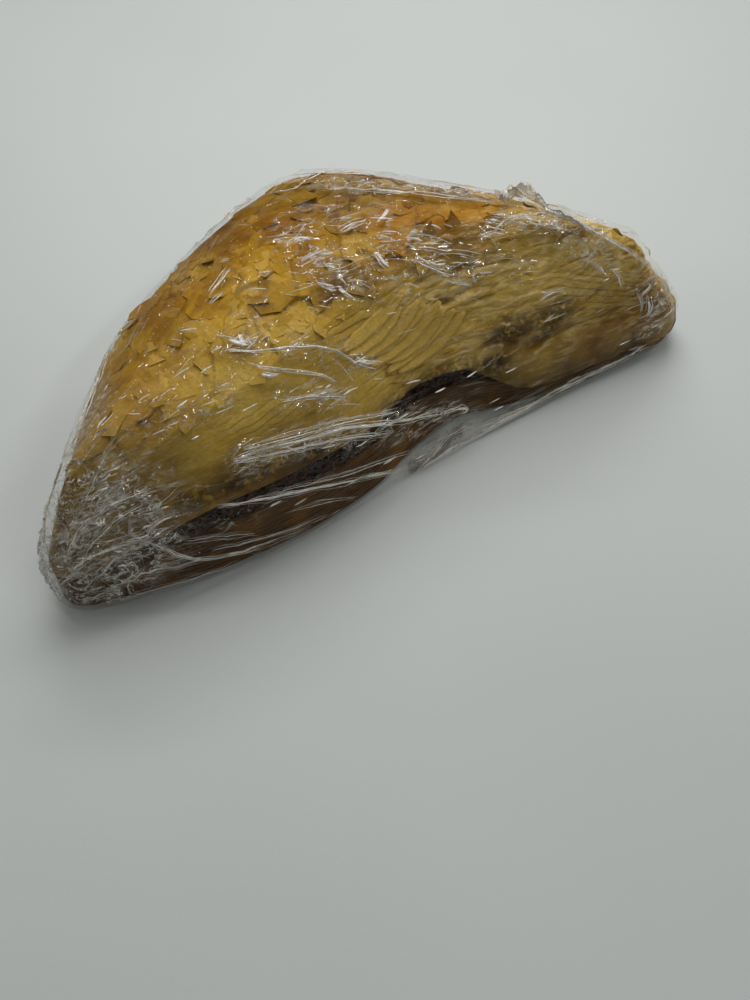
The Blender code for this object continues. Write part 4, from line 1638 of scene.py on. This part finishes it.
@dataclass
class Wrap:
    """The cling film: one closed skin a little clear of the food, with folds, creases and a loose end."""

    count: int = 880
    wall_rows: int = 18
    ramp_rows: int = 44
    top_rows: int = 42
    clear: float = 1.1 * MM
    fold_height: float = 0.45 * MM
    pocket: tuple = (0.5, 0.2, 0.2, 0.4, 0.2, 0.5, 0.3, 1.7)
    underside: tuple = ((0.94, 0.02), (0.6, 0.02), (0.3, 0.15), (0.10, 0.2), (0.03, 0.25))
    fan_from: tuple = (-0.066, -0.020)
    haze_marks: tuple[Mark, ...] = (
        Mark((70, 590, 60, 560, 75, 530, 100, 510, 130, 505), 7.0),
        Mark((110, 560, 150, 550, 110, 590), 5.5, 0.9),
        Mark((330, 183, 380, 184, 430, 188, 480, 194), 2.6, 0.8),
        Mark((425, 470, 445, 445, 465, 425), 3.2, 0.9),
        Mark((470, 440, 540, 410, 590, 392, 640, 365), 2.2, 0.5),
        Mark((100, 370, 110, 340, 125, 320), 3.0, 0.45),
        Mark((240, 470, 270, 455, 300, 448), 2.0, 0.35), Mark((545, 215, 575, 225, 600, 240), 2.6, 0.6),
        Mark((75, 470, 90, 420, 105, 380), 3.2, 0.4), Mark((190, 235, 215, 210, 240, 190), 2.0, 0.35),
        Mark((655, 335, 668, 310, 664, 285), 2.2, 0.45),
    )
    crush_marks: tuple[Mark, ...] = (
        Mark((232, 345, 250, 340), 2.6), Mark((352, 358, 372, 366), 2.0),
        Mark((300, 228, 335, 215), 3.0, 0.8), Mark((280, 238, 320, 262, 345, 280), 3.6, 0.9),
        Mark((380, 210, 384, 240, 386, 262), 2.8, 0.8), Mark((415, 240, 440, 262, 470, 272), 3.6),
        Mark((485, 228, 510, 216, 530, 218), 2.8, 0.9), Mark((280, 400, 340, 398), 2.2, 0.9),
        Mark((150, 430, 180, 415, 225, 400), 4.0, 0.5),
        Mark((241, 456, 300, 440, 360, 428, 449, 412), 2.4, 0.9), Mark((290, 350, 340, 352), 2.4, 0.7),
        Mark((90, 500, 130, 530, 100, 560), 6.0, 0.8), Mark((640, 285, 655, 300, 648, 335), 2.6, 0.7),
        Mark((560, 245, 595, 262), 3.0, 0.5), Mark((490, 258, 520, 268), 3.0, 0.6),
        Mark((330, 442, 420, 428), 2.2, 0.6), Mark((150, 420, 190, 330), 4.0, 0.35),
    )
    syrup_marks: tuple[Mark, ...] = (
        Mark((555, 402, 572, 395, 590, 386), 2.4, 0.9), Mark((95, 380, 100, 372), 2.0, 0.5),
    )
    # painted shade over the web of film at the front, the left end, the left flank and the crown's top edge
    shade_marks: tuple[Mark, ...] = (
        Mark((428, 474, 440, 452, 458, 430), 3.4),
        Mark((452, 456, 500, 432, 560, 402, 600, 384), 2.2, 0.55),
        Mark((80, 560, 120, 545, 140, 520), 5.0, 0.4),
        Mark((100, 400, 125, 340, 170, 285, 215, 235), 5.5, 0.22),
        Mark((255, 205, 300, 190, 380, 196, 440, 204), 3.2, 0.16),
    )

    def rows(self) -> Array:
        """The film's rings before its wrinkles, from under the slice to its top.

        Returns:
            The rings of points.
        """
        form = SliceForm(self.count, notch=0.0, fullness=(0.0,) * 8)
        puff = form.around(self.pocket) * MM
        rows = [form.ring(share, height * MM) for share, height in self.underside]
        rows.append(form.ring(0.0, 1.0 * MM, 0.8 * self.clear))
        for rise in np.linspace(0.09, 1.0, self.wall_rows, endpoint=False):
            height = form.floor + (form.filling_top - form.floor) * rise
            swell = self.clear + (0.1 + 0.3 * rise) * puff
            rows.append(form.ring(form.lean * rise, height, swell))
        for climb in np.linspace(0.0, 1.0, self.ramp_rows, endpoint=False):
            swell = self.clear + 0.4 * puff * (1.0 - climb) + puff * 0.9 * math.sin(math.pi * climb) ** 0.8
            ring = form.side(climb)
            ring[:, :2] += form.outward * swell[:, None] * (1.0 - 0.15 * climb)
            ring[:, 2] += 0.8 * MM * smooth_step(0.0, 0.3, climb) + 0.4 * MM * climb
            rows.append(ring)
        for inward in np.linspace(0.0, 1.0, self.top_rows):
            ring = form.top(inward)
            ring[:, :2] += form.outward * self.clear * 0.85 * (1.0 - inward)
            ring[:, 2] += 1.25 * MM
            rows.append(ring)
        return np.stack(rows)

    def creases(self, places: Array) -> Array:
        """How far the film's larger folds stand up.

        Args:
            places: The places on the film.

        Returns:
            The height at each place, in metres.
        """
        reach, angle, along, across = self.directions(places)
        fan = np.stack([reach, angle * 0.04, 0.5 * places[..., 2]], axis=-1)
        level = np.stack([along, across, places[..., 2]], axis=-1)
        lay = self.lays(places)
        total = np.zeros(places.shape[:-1])
        total += lay[Lay.RADIATING] * (1.0 - np.abs(noise(fan, (30 * MM, 2.6 * MM, 6 * MM), 91))) ** 8
        total += lay[Lay.LEVEL] * (1.0 - np.abs(noise(level, (20 * MM, 2.4 * MM, 3 * MM), 92))) ** 9
        total += lay[Lay.LENGTHWISE] * (1.0 - np.abs(noise(places, (34 * MM, 2.6 * MM, 2.2 * MM), 93))) ** 8
        return total * self.fold_height

    def directions(self, places: Array) -> tuple:
        """Where each place lies for the creases that fan out and for those that run level.

        Args:
            places: The places on the film.

        Returns:
            How far and in which direction from the fan's start, then along and across the level ones.
        """
        away = places[..., :2] - self.fan_from
        spread = np.hypot(away[..., 0], away[..., 1]), np.arctan2(away[..., 1], away[..., 0])
        return spread + turned(places[..., 0], places[..., 1], -LEVEL_TURN)

    def flow(self, places: Array, shares: dict) -> Array:
        """Where each place lies along and across its creases, as the film's finish reads it.

        Args:
            places: The places on the film.
            shares: How much each way of creasing counts there.

        Returns:
            Three numbers for each place.
        """
        x, y, z = places[..., 0], places[..., 1], places[..., 2]
        reach, angle, along, across = self.directions(places)
        fan = np.stack([29.0 * reach, 19.0 * angle, 170.0 * z], axis=-1)
        level = np.stack([32.0 * along, 360.0 * across, 360.0 * z], axis=-1)
        lengthwise = np.stack([24.0 * x, 400.0 * y, 400.0 * z], axis=-1)
        laid = shares[Lay.RADIATING][..., None] * fan + shares[Lay.LEVEL][..., None] * level
        return laid + shares[Lay.LENGTHWISE][..., None] * lengthwise

    def lays(self, places: Array) -> dict:
        """How much each way of creasing counts.

        Args:
            places: The places on the film.

        Returns:
            A number for each place, for each way.
        """
        x, y, z = places[..., 0], places[..., 1], places[..., 2]
        left = smooth_step(0.0, -0.045, x)
        front = smooth_step(-0.004, -0.016, y) * smooth_step(0.026, 0.018, z)
        return {
            Lay.RADIATING: left,
            Lay.LENGTHWISE: front,
            Lay.LEVEL: np.clip(1.0 - 0.7 * left - front, 0.0, 1.0),
        }

    def build(self, view: Viewpoint, material: Material) -> Obj:
        """Build the skin.

        Args:
            view: The picture's camera, which places the marks.
            material: The film's finish.

        Returns:
            The new piece.
        """
        rows = self.rows()
        facing = surface_normals(rows)
        places = rows + CENTRING
        folds = self.creases(places)
        sag = 0.22 * MM * cloud(places, 10 * MM, 3, 95)
        tree = tree_of(shell("film_guide", rows, material))
        bpy.data.objects.remove(bpy.data.objects["film_guide"])
        spots = places.reshape(-1, 3)
        haze = strongest(self.haze_marks, tree, view, spots).reshape(folds.shape)
        crumple = haze * 0.9 * MM * ((1.0 - np.abs(cloud(places, 4.2 * MM, 3, 97))) ** 4 - 0.45)
        lift = (folds + sag + crumple) * np.clip((np.arange(len(rows)) - 4) / 6.0, 0.0, 1.0)[:, None]
        piece = shell("film_skin", rows + facing * lift[..., None], material)
        shares = self.lays(places)
        paint(piece, "flow", self.flow(places, shares).reshape(-1, 3))
        paint(piece, "lengthwise", shares[Lay.LENGTHWISE].ravel())
        paint(piece, "haze", np.clip(haze, 0.0, 1.0).ravel())
        patches = {"crush": self.crush_marks, "syrup": self.syrup_marks, "shade": self.shade_marks}
        for name, marks in patches.items():
            paint(piece, name, strongest(marks, tree, view, spots))
        return piece


@dataclass(frozen=True)
class Thread(Drawn):
    """One crease of gathered film along a drawn line."""

    radius: float


@dataclass
class FilmFolds:
    """The sharp creases that stand on the film: those drawn from the picture and many short ones."""

    drawn: tuple[Thread, ...] = (
        Thread((241, 456, 265, 450, 289, 444, 315, 436, 343, 429, 375, 425, 407, 421, 449, 412), 0.22),
        Thread((449, 412, 462, 407, 469, 409, 463, 414), 0.17),
        Thread((232, 462, 270, 456, 310, 447, 350, 438, 395, 432), 0.14),
        Thread((245, 449, 290, 437, 340, 422, 400, 413), 0.12),
        Thread((225, 505, 270, 498, 330, 486, 400, 470), 0.11),
        Thread((216, 507, 262, 499, 312, 488, 355, 480, 399, 471), 0.09),
        Thread((130, 533, 149, 542, 178, 555, 201, 561, 214, 558, 258, 547, 273, 542), 0.14),
        Thread((148, 538, 150, 528, 160, 521, 173, 517), 0.12),
        Thread((228, 352, 255, 352, 283, 350, 316, 347, 338, 352, 350, 360, 360, 366), 0.17),
        Thread((250, 362, 268, 370, 300, 372, 325, 375, 338, 384), 0.12),
        Thread((281, 401, 295, 398, 310, 396, 330, 396, 347, 397), 0.12),
        Thread((294, 240, 302, 238, 312, 238), 0.24), Thread((318, 283, 327, 288, 336, 287), 0.24),
        Thread((338, 290, 347, 297, 357, 301), 0.20), Thread((230, 340, 240, 345, 251, 343), 0.24),
        Thread((238, 334, 243, 347), 0.20), Thread((247, 336, 253, 348), 0.18),
        Thread((378, 221, 384, 215, 388, 208), 0.20), Thread((377, 252, 382, 262, 391, 268), 0.20),
        Thread((356, 361, 366, 364, 376, 364), 0.30), Thread((261, 374, 270, 377, 280, 373), 0.24),
        Thread((300, 262, 312, 254, 326, 250), 0.16), Thread((340, 232, 352, 224, 366, 220), 0.16),
        Thread((590, 262, 600, 268, 606, 276), 0.16), Thread((211, 292, 221, 280, 231, 267), 0.14),
        Thread((210, 303, 216, 297, 222, 291), 0.11),
        Thread((412, 256, 422, 263, 431, 268, 443, 273, 453, 275), 0.14),
        Thread((446, 281, 458, 284, 471, 284), 0.11), Thread((478, 236, 487, 234, 495, 230), 0.11),
        Thread((495, 230, 506, 220, 520, 216, 533, 216), 0.14),
        Thread((640, 300, 646, 292, 652, 284), 0.10),
        Thread((266, 493, 305, 484, 348, 473, 412, 452), 0.06),
        Thread((185, 541, 221, 536, 257, 534), 0.06),
        Thread((212, 550, 250, 542, 285, 532, 330, 514), 0.06),
        Thread((285, 514, 321, 502, 357, 498), 0.05), Thread((339, 486, 375, 475, 403, 468), 0.06),
        Thread((176, 560, 215, 556, 262, 545, 310, 526), 0.05),
        Thread((100, 604, 150, 592, 200, 576, 240, 562), 0.06),
        Thread((72, 575, 90, 545, 118, 520, 150, 500), 0.09),
        Thread((66, 540, 82, 505, 98, 470, 118, 430), 0.07),
        Thread((88, 585, 112, 560, 140, 545), 0.10),
        Thread((560, 212, 585, 226, 607, 240, 632, 254, 652, 268), 0.16),
        Thread((652, 268, 664, 282, 671, 300, 673, 318), 0.14),
        Thread((590, 384, 615, 372, 640, 360, 658, 346), 0.20),
        Thread((470, 440, 500, 424, 530, 410, 560, 398, 590, 386), 0.20),
        Thread((425, 474, 436, 462, 452, 452, 470, 446), 0.18),
        Thread((458, 470, 500, 452, 540, 432, 575, 412), 0.14),
        Thread((610, 268, 618, 276, 622, 288), 0.14), Thread((648, 296, 650, 306, 646, 316), 0.16),
        Thread((640, 292, 642, 304, 640, 312), 0.12), Thread((541, 300, 553, 292, 566, 290), 0.10),
        Thread((186, 240, 206, 218, 228, 200, 252, 186), 0.12),
        Thread((118, 318, 134, 296, 152, 276, 172, 254), 0.12),
        Thread((62, 470, 76, 430, 92, 392, 108, 350), 0.12),
        Thread((262, 180, 292, 173, 330, 171, 372, 174), 0.12),
        Thread((330, 187, 380, 190, 430, 194, 500, 202), 0.12),
        Thread((95, 385, 105, 350, 120, 325), 0.12),
        Thread((65, 560, 80, 530, 110, 505, 150, 490), 0.14),
        Thread((60, 585, 85, 560, 120, 545, 150, 541), 0.14),
        Thread((80, 604, 110, 590, 150, 572, 200, 561), 0.11),
        Thread((420, 478, 432, 455, 447, 436, 470, 425), 0.14),
        Thread((430, 480, 452, 462, 480, 447, 520, 430), 0.12),
        Thread((480, 430, 530, 408, 585, 388, 640, 362), 0.12),
    )
    strands: int = 5
    seed: int = 7
    short_ones: int = 430
    walk_step: float = 0.4 * MM
    fit_step: float = 0.5 * MM

    def walk(self, tree: BVHTree, start: Array, way: Array, length: float, bend: float) -> Array:
        """A line over the film that slowly turns.

        Args:
            tree: The film's surface.
            start: Where the line starts.
            way: The direction that it starts in.
            length: How long it gets.
            bend: How far it turns at each step, in radians.

        Returns:
            The line's points.
        """
        line = [start]
        for _ in range(max(3, int(length / self.walk_step))):
            way = np.array([*turned(way[0], way[1], bend), way[2]])
            hit, facing, _, _ = tree.find_nearest(Vector(line[-1] + way * self.walk_step))
            normal = np.array(facing)
            way = np.array(hit) - line[-1]
            way = way - normal * np.dot(way, normal)
            size = np.linalg.norm(way)
            if size < 1e-6:
                break
            way = way / size
            line.append(np.array(hit))
        return np.array(line)

    def build(self, film: Obj, wrap: Wrap, view: Viewpoint, material: Material) -> Obj:
        """Build every crease as one piece.

        Args:
            film: The skin that they stand on.
            wrap: The wrap, which says how creases run.
            view: The picture's camera.
            material: The bunched film's finish.

        Returns:
            The new piece.
        """
        tree = tree_of(film)
        lines = []
        random = np.random.default_rng(self.seed)
        for thread in self.drawn:
            line = np.array(thread.line())
            for strand in range(self.strands):
                aside = random.normal(0.0, 1.0, line.shape) + random.normal(0.0, 1.6, 2) * min(strand, 1)
                spots = view.on(tree, (line + aside).tolist())
                girth = thread.radius * (0.9 if strand else 1.5) / (1.0 + 0.3 * strand)
                lines.append((self.fitted(tree, spots), girth * MM))
        places = points_of(film)
        likely = np.where(places[:, 2] > 3 * MM, 0.03 + painted(film, "crush") ** 3, 0.0).astype(float)
        for start in places[random.choice(len(places), self.short_ones, p=likely / likely.sum())]:
            lays = wrap.lays(start[None])
            shares = np.array([float(lays[lay][0]) for lay in Lay]) + 1e-3
            lay = list(Lay)[int(random.choice(3, p=shares / shares.sum()))]
            if lay is Lay.RADIATING:
                away = start[:2] - wrap.fan_from
                angle = math.atan2(away[1], away[0])
            else:
                angle = LEVEL_TURN if lay is Lay.LEVEL else 0.0
            angle += random.normal(0.0, 0.14 if lay is not Lay.LEVEL else 0.24)
            way = np.array([math.cos(angle), math.sin(angle), 0.0])
            shard = random.uniform(0.0, 1.0) < 0.75
            length = random.uniform(1.4, 3.4) * MM if shard else random.uniform(3.0, 8.0) * MM
            line = self.walk(tree, start, way, length, random.normal(0.0, 0.04))
            girth = random.uniform(0.0, 1.0) ** 1.5 * (0.24 if shard else 0.05)
            lines.append((line, (0.045 + girth) * MM))
        return self.tubes(lines, material)

    def fitted(self, tree: BVHTree, corners: Array) -> Array:
        """A smooth line over the film.

        Args:
            tree: The film's surface.
            corners: The places that it passes.

        Returns:
            The line's points.
        """
        line = placed_along(corners, np.arange(0.0, along_line(corners)[-1], self.fit_step))
        for _ in range(4):
            line[1:-1] = 0.25 * line[:-2] + 0.5 * line[1:-1] + 0.25 * line[2:]
        return np.array([tree.find_nearest(Vector(p))[0][:] for p in line])

    def tubes(self, lines: list, material: Material) -> Obj:
        """Turn lines into thin tubes that taper at both ends.

        Args:
            lines: Each line's points, with its radius.
            material: The tubes' finish.

        Returns:
            The tubes as one piece.
        """
        points, edges, radii = [], [], []
        for line, radius in lines:
            first = len(points)
            share = np.linspace(0.0, 1.0, len(line))
            wave = 0.75 + 0.4 * noise(line, 2.5 * MM, 33)
            radii += (radius * wave * (0.15 + 0.85 * np.sin(math.pi * share) ** 0.5)).tolist()
            points += line.tolist()
            edges += [(first + k, first + k + 1) for k in range(len(line) - 1)]
        mesh = bpy.data.meshes.new("fold_lines")
        mesh.from_pydata(points, edges, [])
        host = link(bpy.data.objects.new("fold_lines", mesh))
        paint(host, "girth", np.array(radii) / MM)
        inputs = {"Sides": ("NodeSocketInt", 5), "Material": ("NodeSocketMaterial", material)}
        tree = Growth("film_folds", inputs)
        curve = tree.add("GeometryNodeMeshToCurve", {}, {"Mesh": tree.given["Geometry"]}).outputs[0]
        circle = {"Resolution": tree.given["Sides"], "Radius": 1.0 * MM}
        profile = tree.add("GeometryNodeCurvePrimitiveCircle", {}, circle).outputs[0]
        girth = tree.add("GeometryNodeInputNamedAttribute", {"data_type": "FLOAT"}, {"Name": "girth"})
        sockets = {"Curve": curve, "Profile Curve": profile, "Scale": girth.outputs[0], "Fill Caps": True}
        tube = tree.add("GeometryNodeCurveToMesh", {}, sockets).outputs[0]
        tree.finish(tube)
        piece = tree.grow(host, "film_folds")
        bpy.data.objects.remove(host)
        piece.data.shade_smooth()
        return piece


@dataclass
class LooseEnd:
    """The twisted end of the film and the flap beside it, as pleated strips that stand on the skin."""

    paths: tuple = (
        (((494, 196), (506, 188), (520, 194), (534, 202), (548, 210)), 3.4, 5.0),
        (((545, 212), (562, 218), (580, 226), (598, 236)), 2.0, 6.0),
        (((497, 190), (500, 180), (512, 182), (524, 190)), 2.6, 3.0),
    )
    points_along: int = 60
    points_up: int = 9

    def build(self, film: Obj, view: Viewpoint, material: Material) -> Obj:
        """Build the strips as one closed piece.

        Args:
            film: The skin that they stand on.
            view: The picture's camera.
            material: The bunched film's finish.

        Returns:
            The new piece.
        """
        tree = tree_of(film)
        points, faces = [], []
        for number, (line, height, width) in enumerate(self.paths):
            spots = view.on(tree, list(line))
            spine = placed_along(spots, np.linspace(0.0, along_line(spots)[-1], self.points_along))
            first = len(points)
            for k, spot in enumerate(spine):
                share = k / (len(spine) - 1)
                normal = normal_at(tree, spot)
                swell = math.sin(math.pi * (0.08 + 0.84 * share)) ** 0.7
                for m in range(self.points_up):
                    up = m / (self.points_up - 1)
                    pleat = math.sin(9.0 * share + 7.0 * up + number) * 0.35
                    pleat += math.sin(23.0 * share + 3.0 * up) * 0.2
                    lean = np.array([0.10 * pleat, 0.8 * pleat, 0.0]) * width * 0.3 * MM * up
                    points.append((spot + normal * height * MM * up * swell * 0.8 + lean).tolist())
            faces += strip_faces(first, len(spine), self.points_up)
        return walled("film_loose_end", points, faces, material)


@dataclass
class SyrupBeads:
    """Tiny drops of syrup and air bubbles caught under the film."""

    rings: int = 4
    sides: int = 7
    thickness: float = 0.6

    def bead(self) -> Obj:
        """One flattened drop, one unit in radius.

        Returns:
            The drop.
        """
        rings, sides = self.rings, self.sides
        points = [[0.0, 0.0, self.thickness]]
        for ring in range(1, rings):
            angle = ring / rings * math.pi
            for side in range(sides):
                turn = side / sides * math.tau
                x, y = math.sin(angle) * math.cos(turn), math.sin(angle) * math.sin(turn)
                points.append([x, y, self.thickness * math.cos(angle)])
        points.append([0.0, 0.0, -self.thickness])
        faces = [[0, 1 + k, 1 + (k + 1) % sides] for k in range(sides)]
        for ring in range(rings - 2):
            a, b = 1 + ring * sides, 1 + (ring + 1) * sides
            faces += [[a + k, b + k, b + (k + 1) % sides, a + (k + 1) % sides] for k in range(sides)]
        last = len(points) - 1
        faces += [[last, last - sides + (k + 1) % sides, last - sides + k] for k in range(sides)]
        shape = loose_shape("bead", np.array(points), faces)
        shape.data.shade_smooth()
        return shape

    def build(self, host: Obj, material: Material) -> Obj:
        """Spread the drops over the sheets."""
        scatter = Scatter("syrup_beads", 8.0 * MM, 0.10 * MM, 0.40 * MM, 0.2, 41)
        return scatter.spread(host, [self.bead()], material)


# ---- the floor and the light


@dataclass
class Floor:
    """The plain pale surface that the slice lies on."""

    half: float = 1.6

    def build(self, material: Material) -> None:
        """Build the floor.

        Args:
            material: Its finish.
        """
        h = self.half
        mesh = bpy.data.meshes.new("floor")
        mesh.from_pydata([(-h, -h, 0.0), (h, -h, 0.0), (h, h, 0.0), (-h, h, 0.0)], [], [[0, 1, 2, 3]])
        mesh.materials.append(material)
        floor = link(bpy.data.objects.new("floor", mesh))


@dataclass(frozen=True)
class Lamp:
    """One soft light that shines at the slice."""

    name: str
    place: tuple
    size: tuple
    power: float
    mirrored: bool = True

    def build(self) -> None:
        """Put the light in the scene."""
        data = bpy.data.lights.new(self.name, "AREA")
        data.energy = self.power
        data.shape = "RECTANGLE"
        data.size, data.size_y = self.size
        lamp = link(bpy.data.objects.new(self.name, data))
        lamp.location = self.place
        lamp.visible_glossy = self.mirrored
        lamp.rotation_euler = (-Vector(self.place)).to_track_quat("-Z", "Y").to_euler()


@dataclass
class Studio:
    """The soft light of the room, with small lamps that the film glints under."""

    lamps: tuple[Lamp, ...] = (
        Lamp("soft_light", (0.067, 0.128, 0.29), (0.24, 0.24), 0.60, False),
        Lamp("strip_back", (0.25, 0.50, 0.55), (0.45, 0.008), 0.52),
        Lamp("strip_right", (0.55, 0.05, 0.40), (0.008, 0.30), 0.50),
        Lamp("strip_top", (-0.05, 0.10, 0.75), (0.007, 0.40), 0.38),
        Lamp("strip_front", (0.20, -0.40, 0.62), (0.30, 0.012), 0.55),
        Lamp("strip_left", (-0.50, 0.20, 0.35), (0.007, 0.30), 0.24),
    )
    ambient: Colour = (0.60, 0.64, 0.62, 1.0)
    ambient_strength: float = 0.10

    def build(self) -> None:
        """Light the scene."""
        for lamp in self.lamps:
            lamp.build()
        world = bpy.data.worlds.new("room")
        bpy.context.scene.world = world
        world.use_nodes = True
        bpy.context.scene.view_settings.view_transform = "Standard"
        background = world.node_tree.nodes["Background"]
        background.inputs["Color"].default_value = self.ambient
        background.inputs["Strength"].default_value = self.ambient_strength


def show(piece: Obj, node: str) -> None:
    """Ride a piece on the slice, in place of its solid.

    Args:
        piece: The finished piece.
        node: The solid that it replaces.
    """
    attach(piece, "root")
    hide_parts(node)
    piece.data.calc_loop_triangles()
    LOG.info("%s: %d triangles", piece.name, len(piece.data.loop_triangles))


def main() -> None:
    """Build every piece in order, from the inside of the slice to the film, the floor and the light."""
    logging.basicConfig(level=logging.INFO, format="%(message)s")
    view = Viewpoint()
    view.make()
    golden = GoldenPastry().make()
    nuts = NutPaste().make()

    lower = LowerPastry().build(SoakedPastry().make())
    show(lower, "pastry_base")
    layer = NutLayer()
    wall = layer.build(nuts)
    show(wall, "nut_filling")
    show(layer.chunks(wall, nuts), "nut_filling")
    upper = UpperPastry()
    sheets = upper.build(view, golden)
    show(sheets, "pastry_top")
    show(upper.flakes(sheets, golden), "pastry_top")
    show(LaidSheets().build(sheets, upper, view, golden), "pastry_top")
    show(SyrupBeads().build(sheets, SyrupBead().make()), "pastry_top")

    wrap = Wrap()
    film = wrap.build(view, ClearFilm().make())
    show(film, "cling_film")
    bunched = BunchedFilm().make()
    show(FilmFolds().build(film, wrap, view, bunched), "cling_film")
    show(LooseEnd().build(film, view, bunched), "cling_film")

    Floor().build(PaleFloor().make())
    Studio().build()


if __name__ == "__main__":
    main()
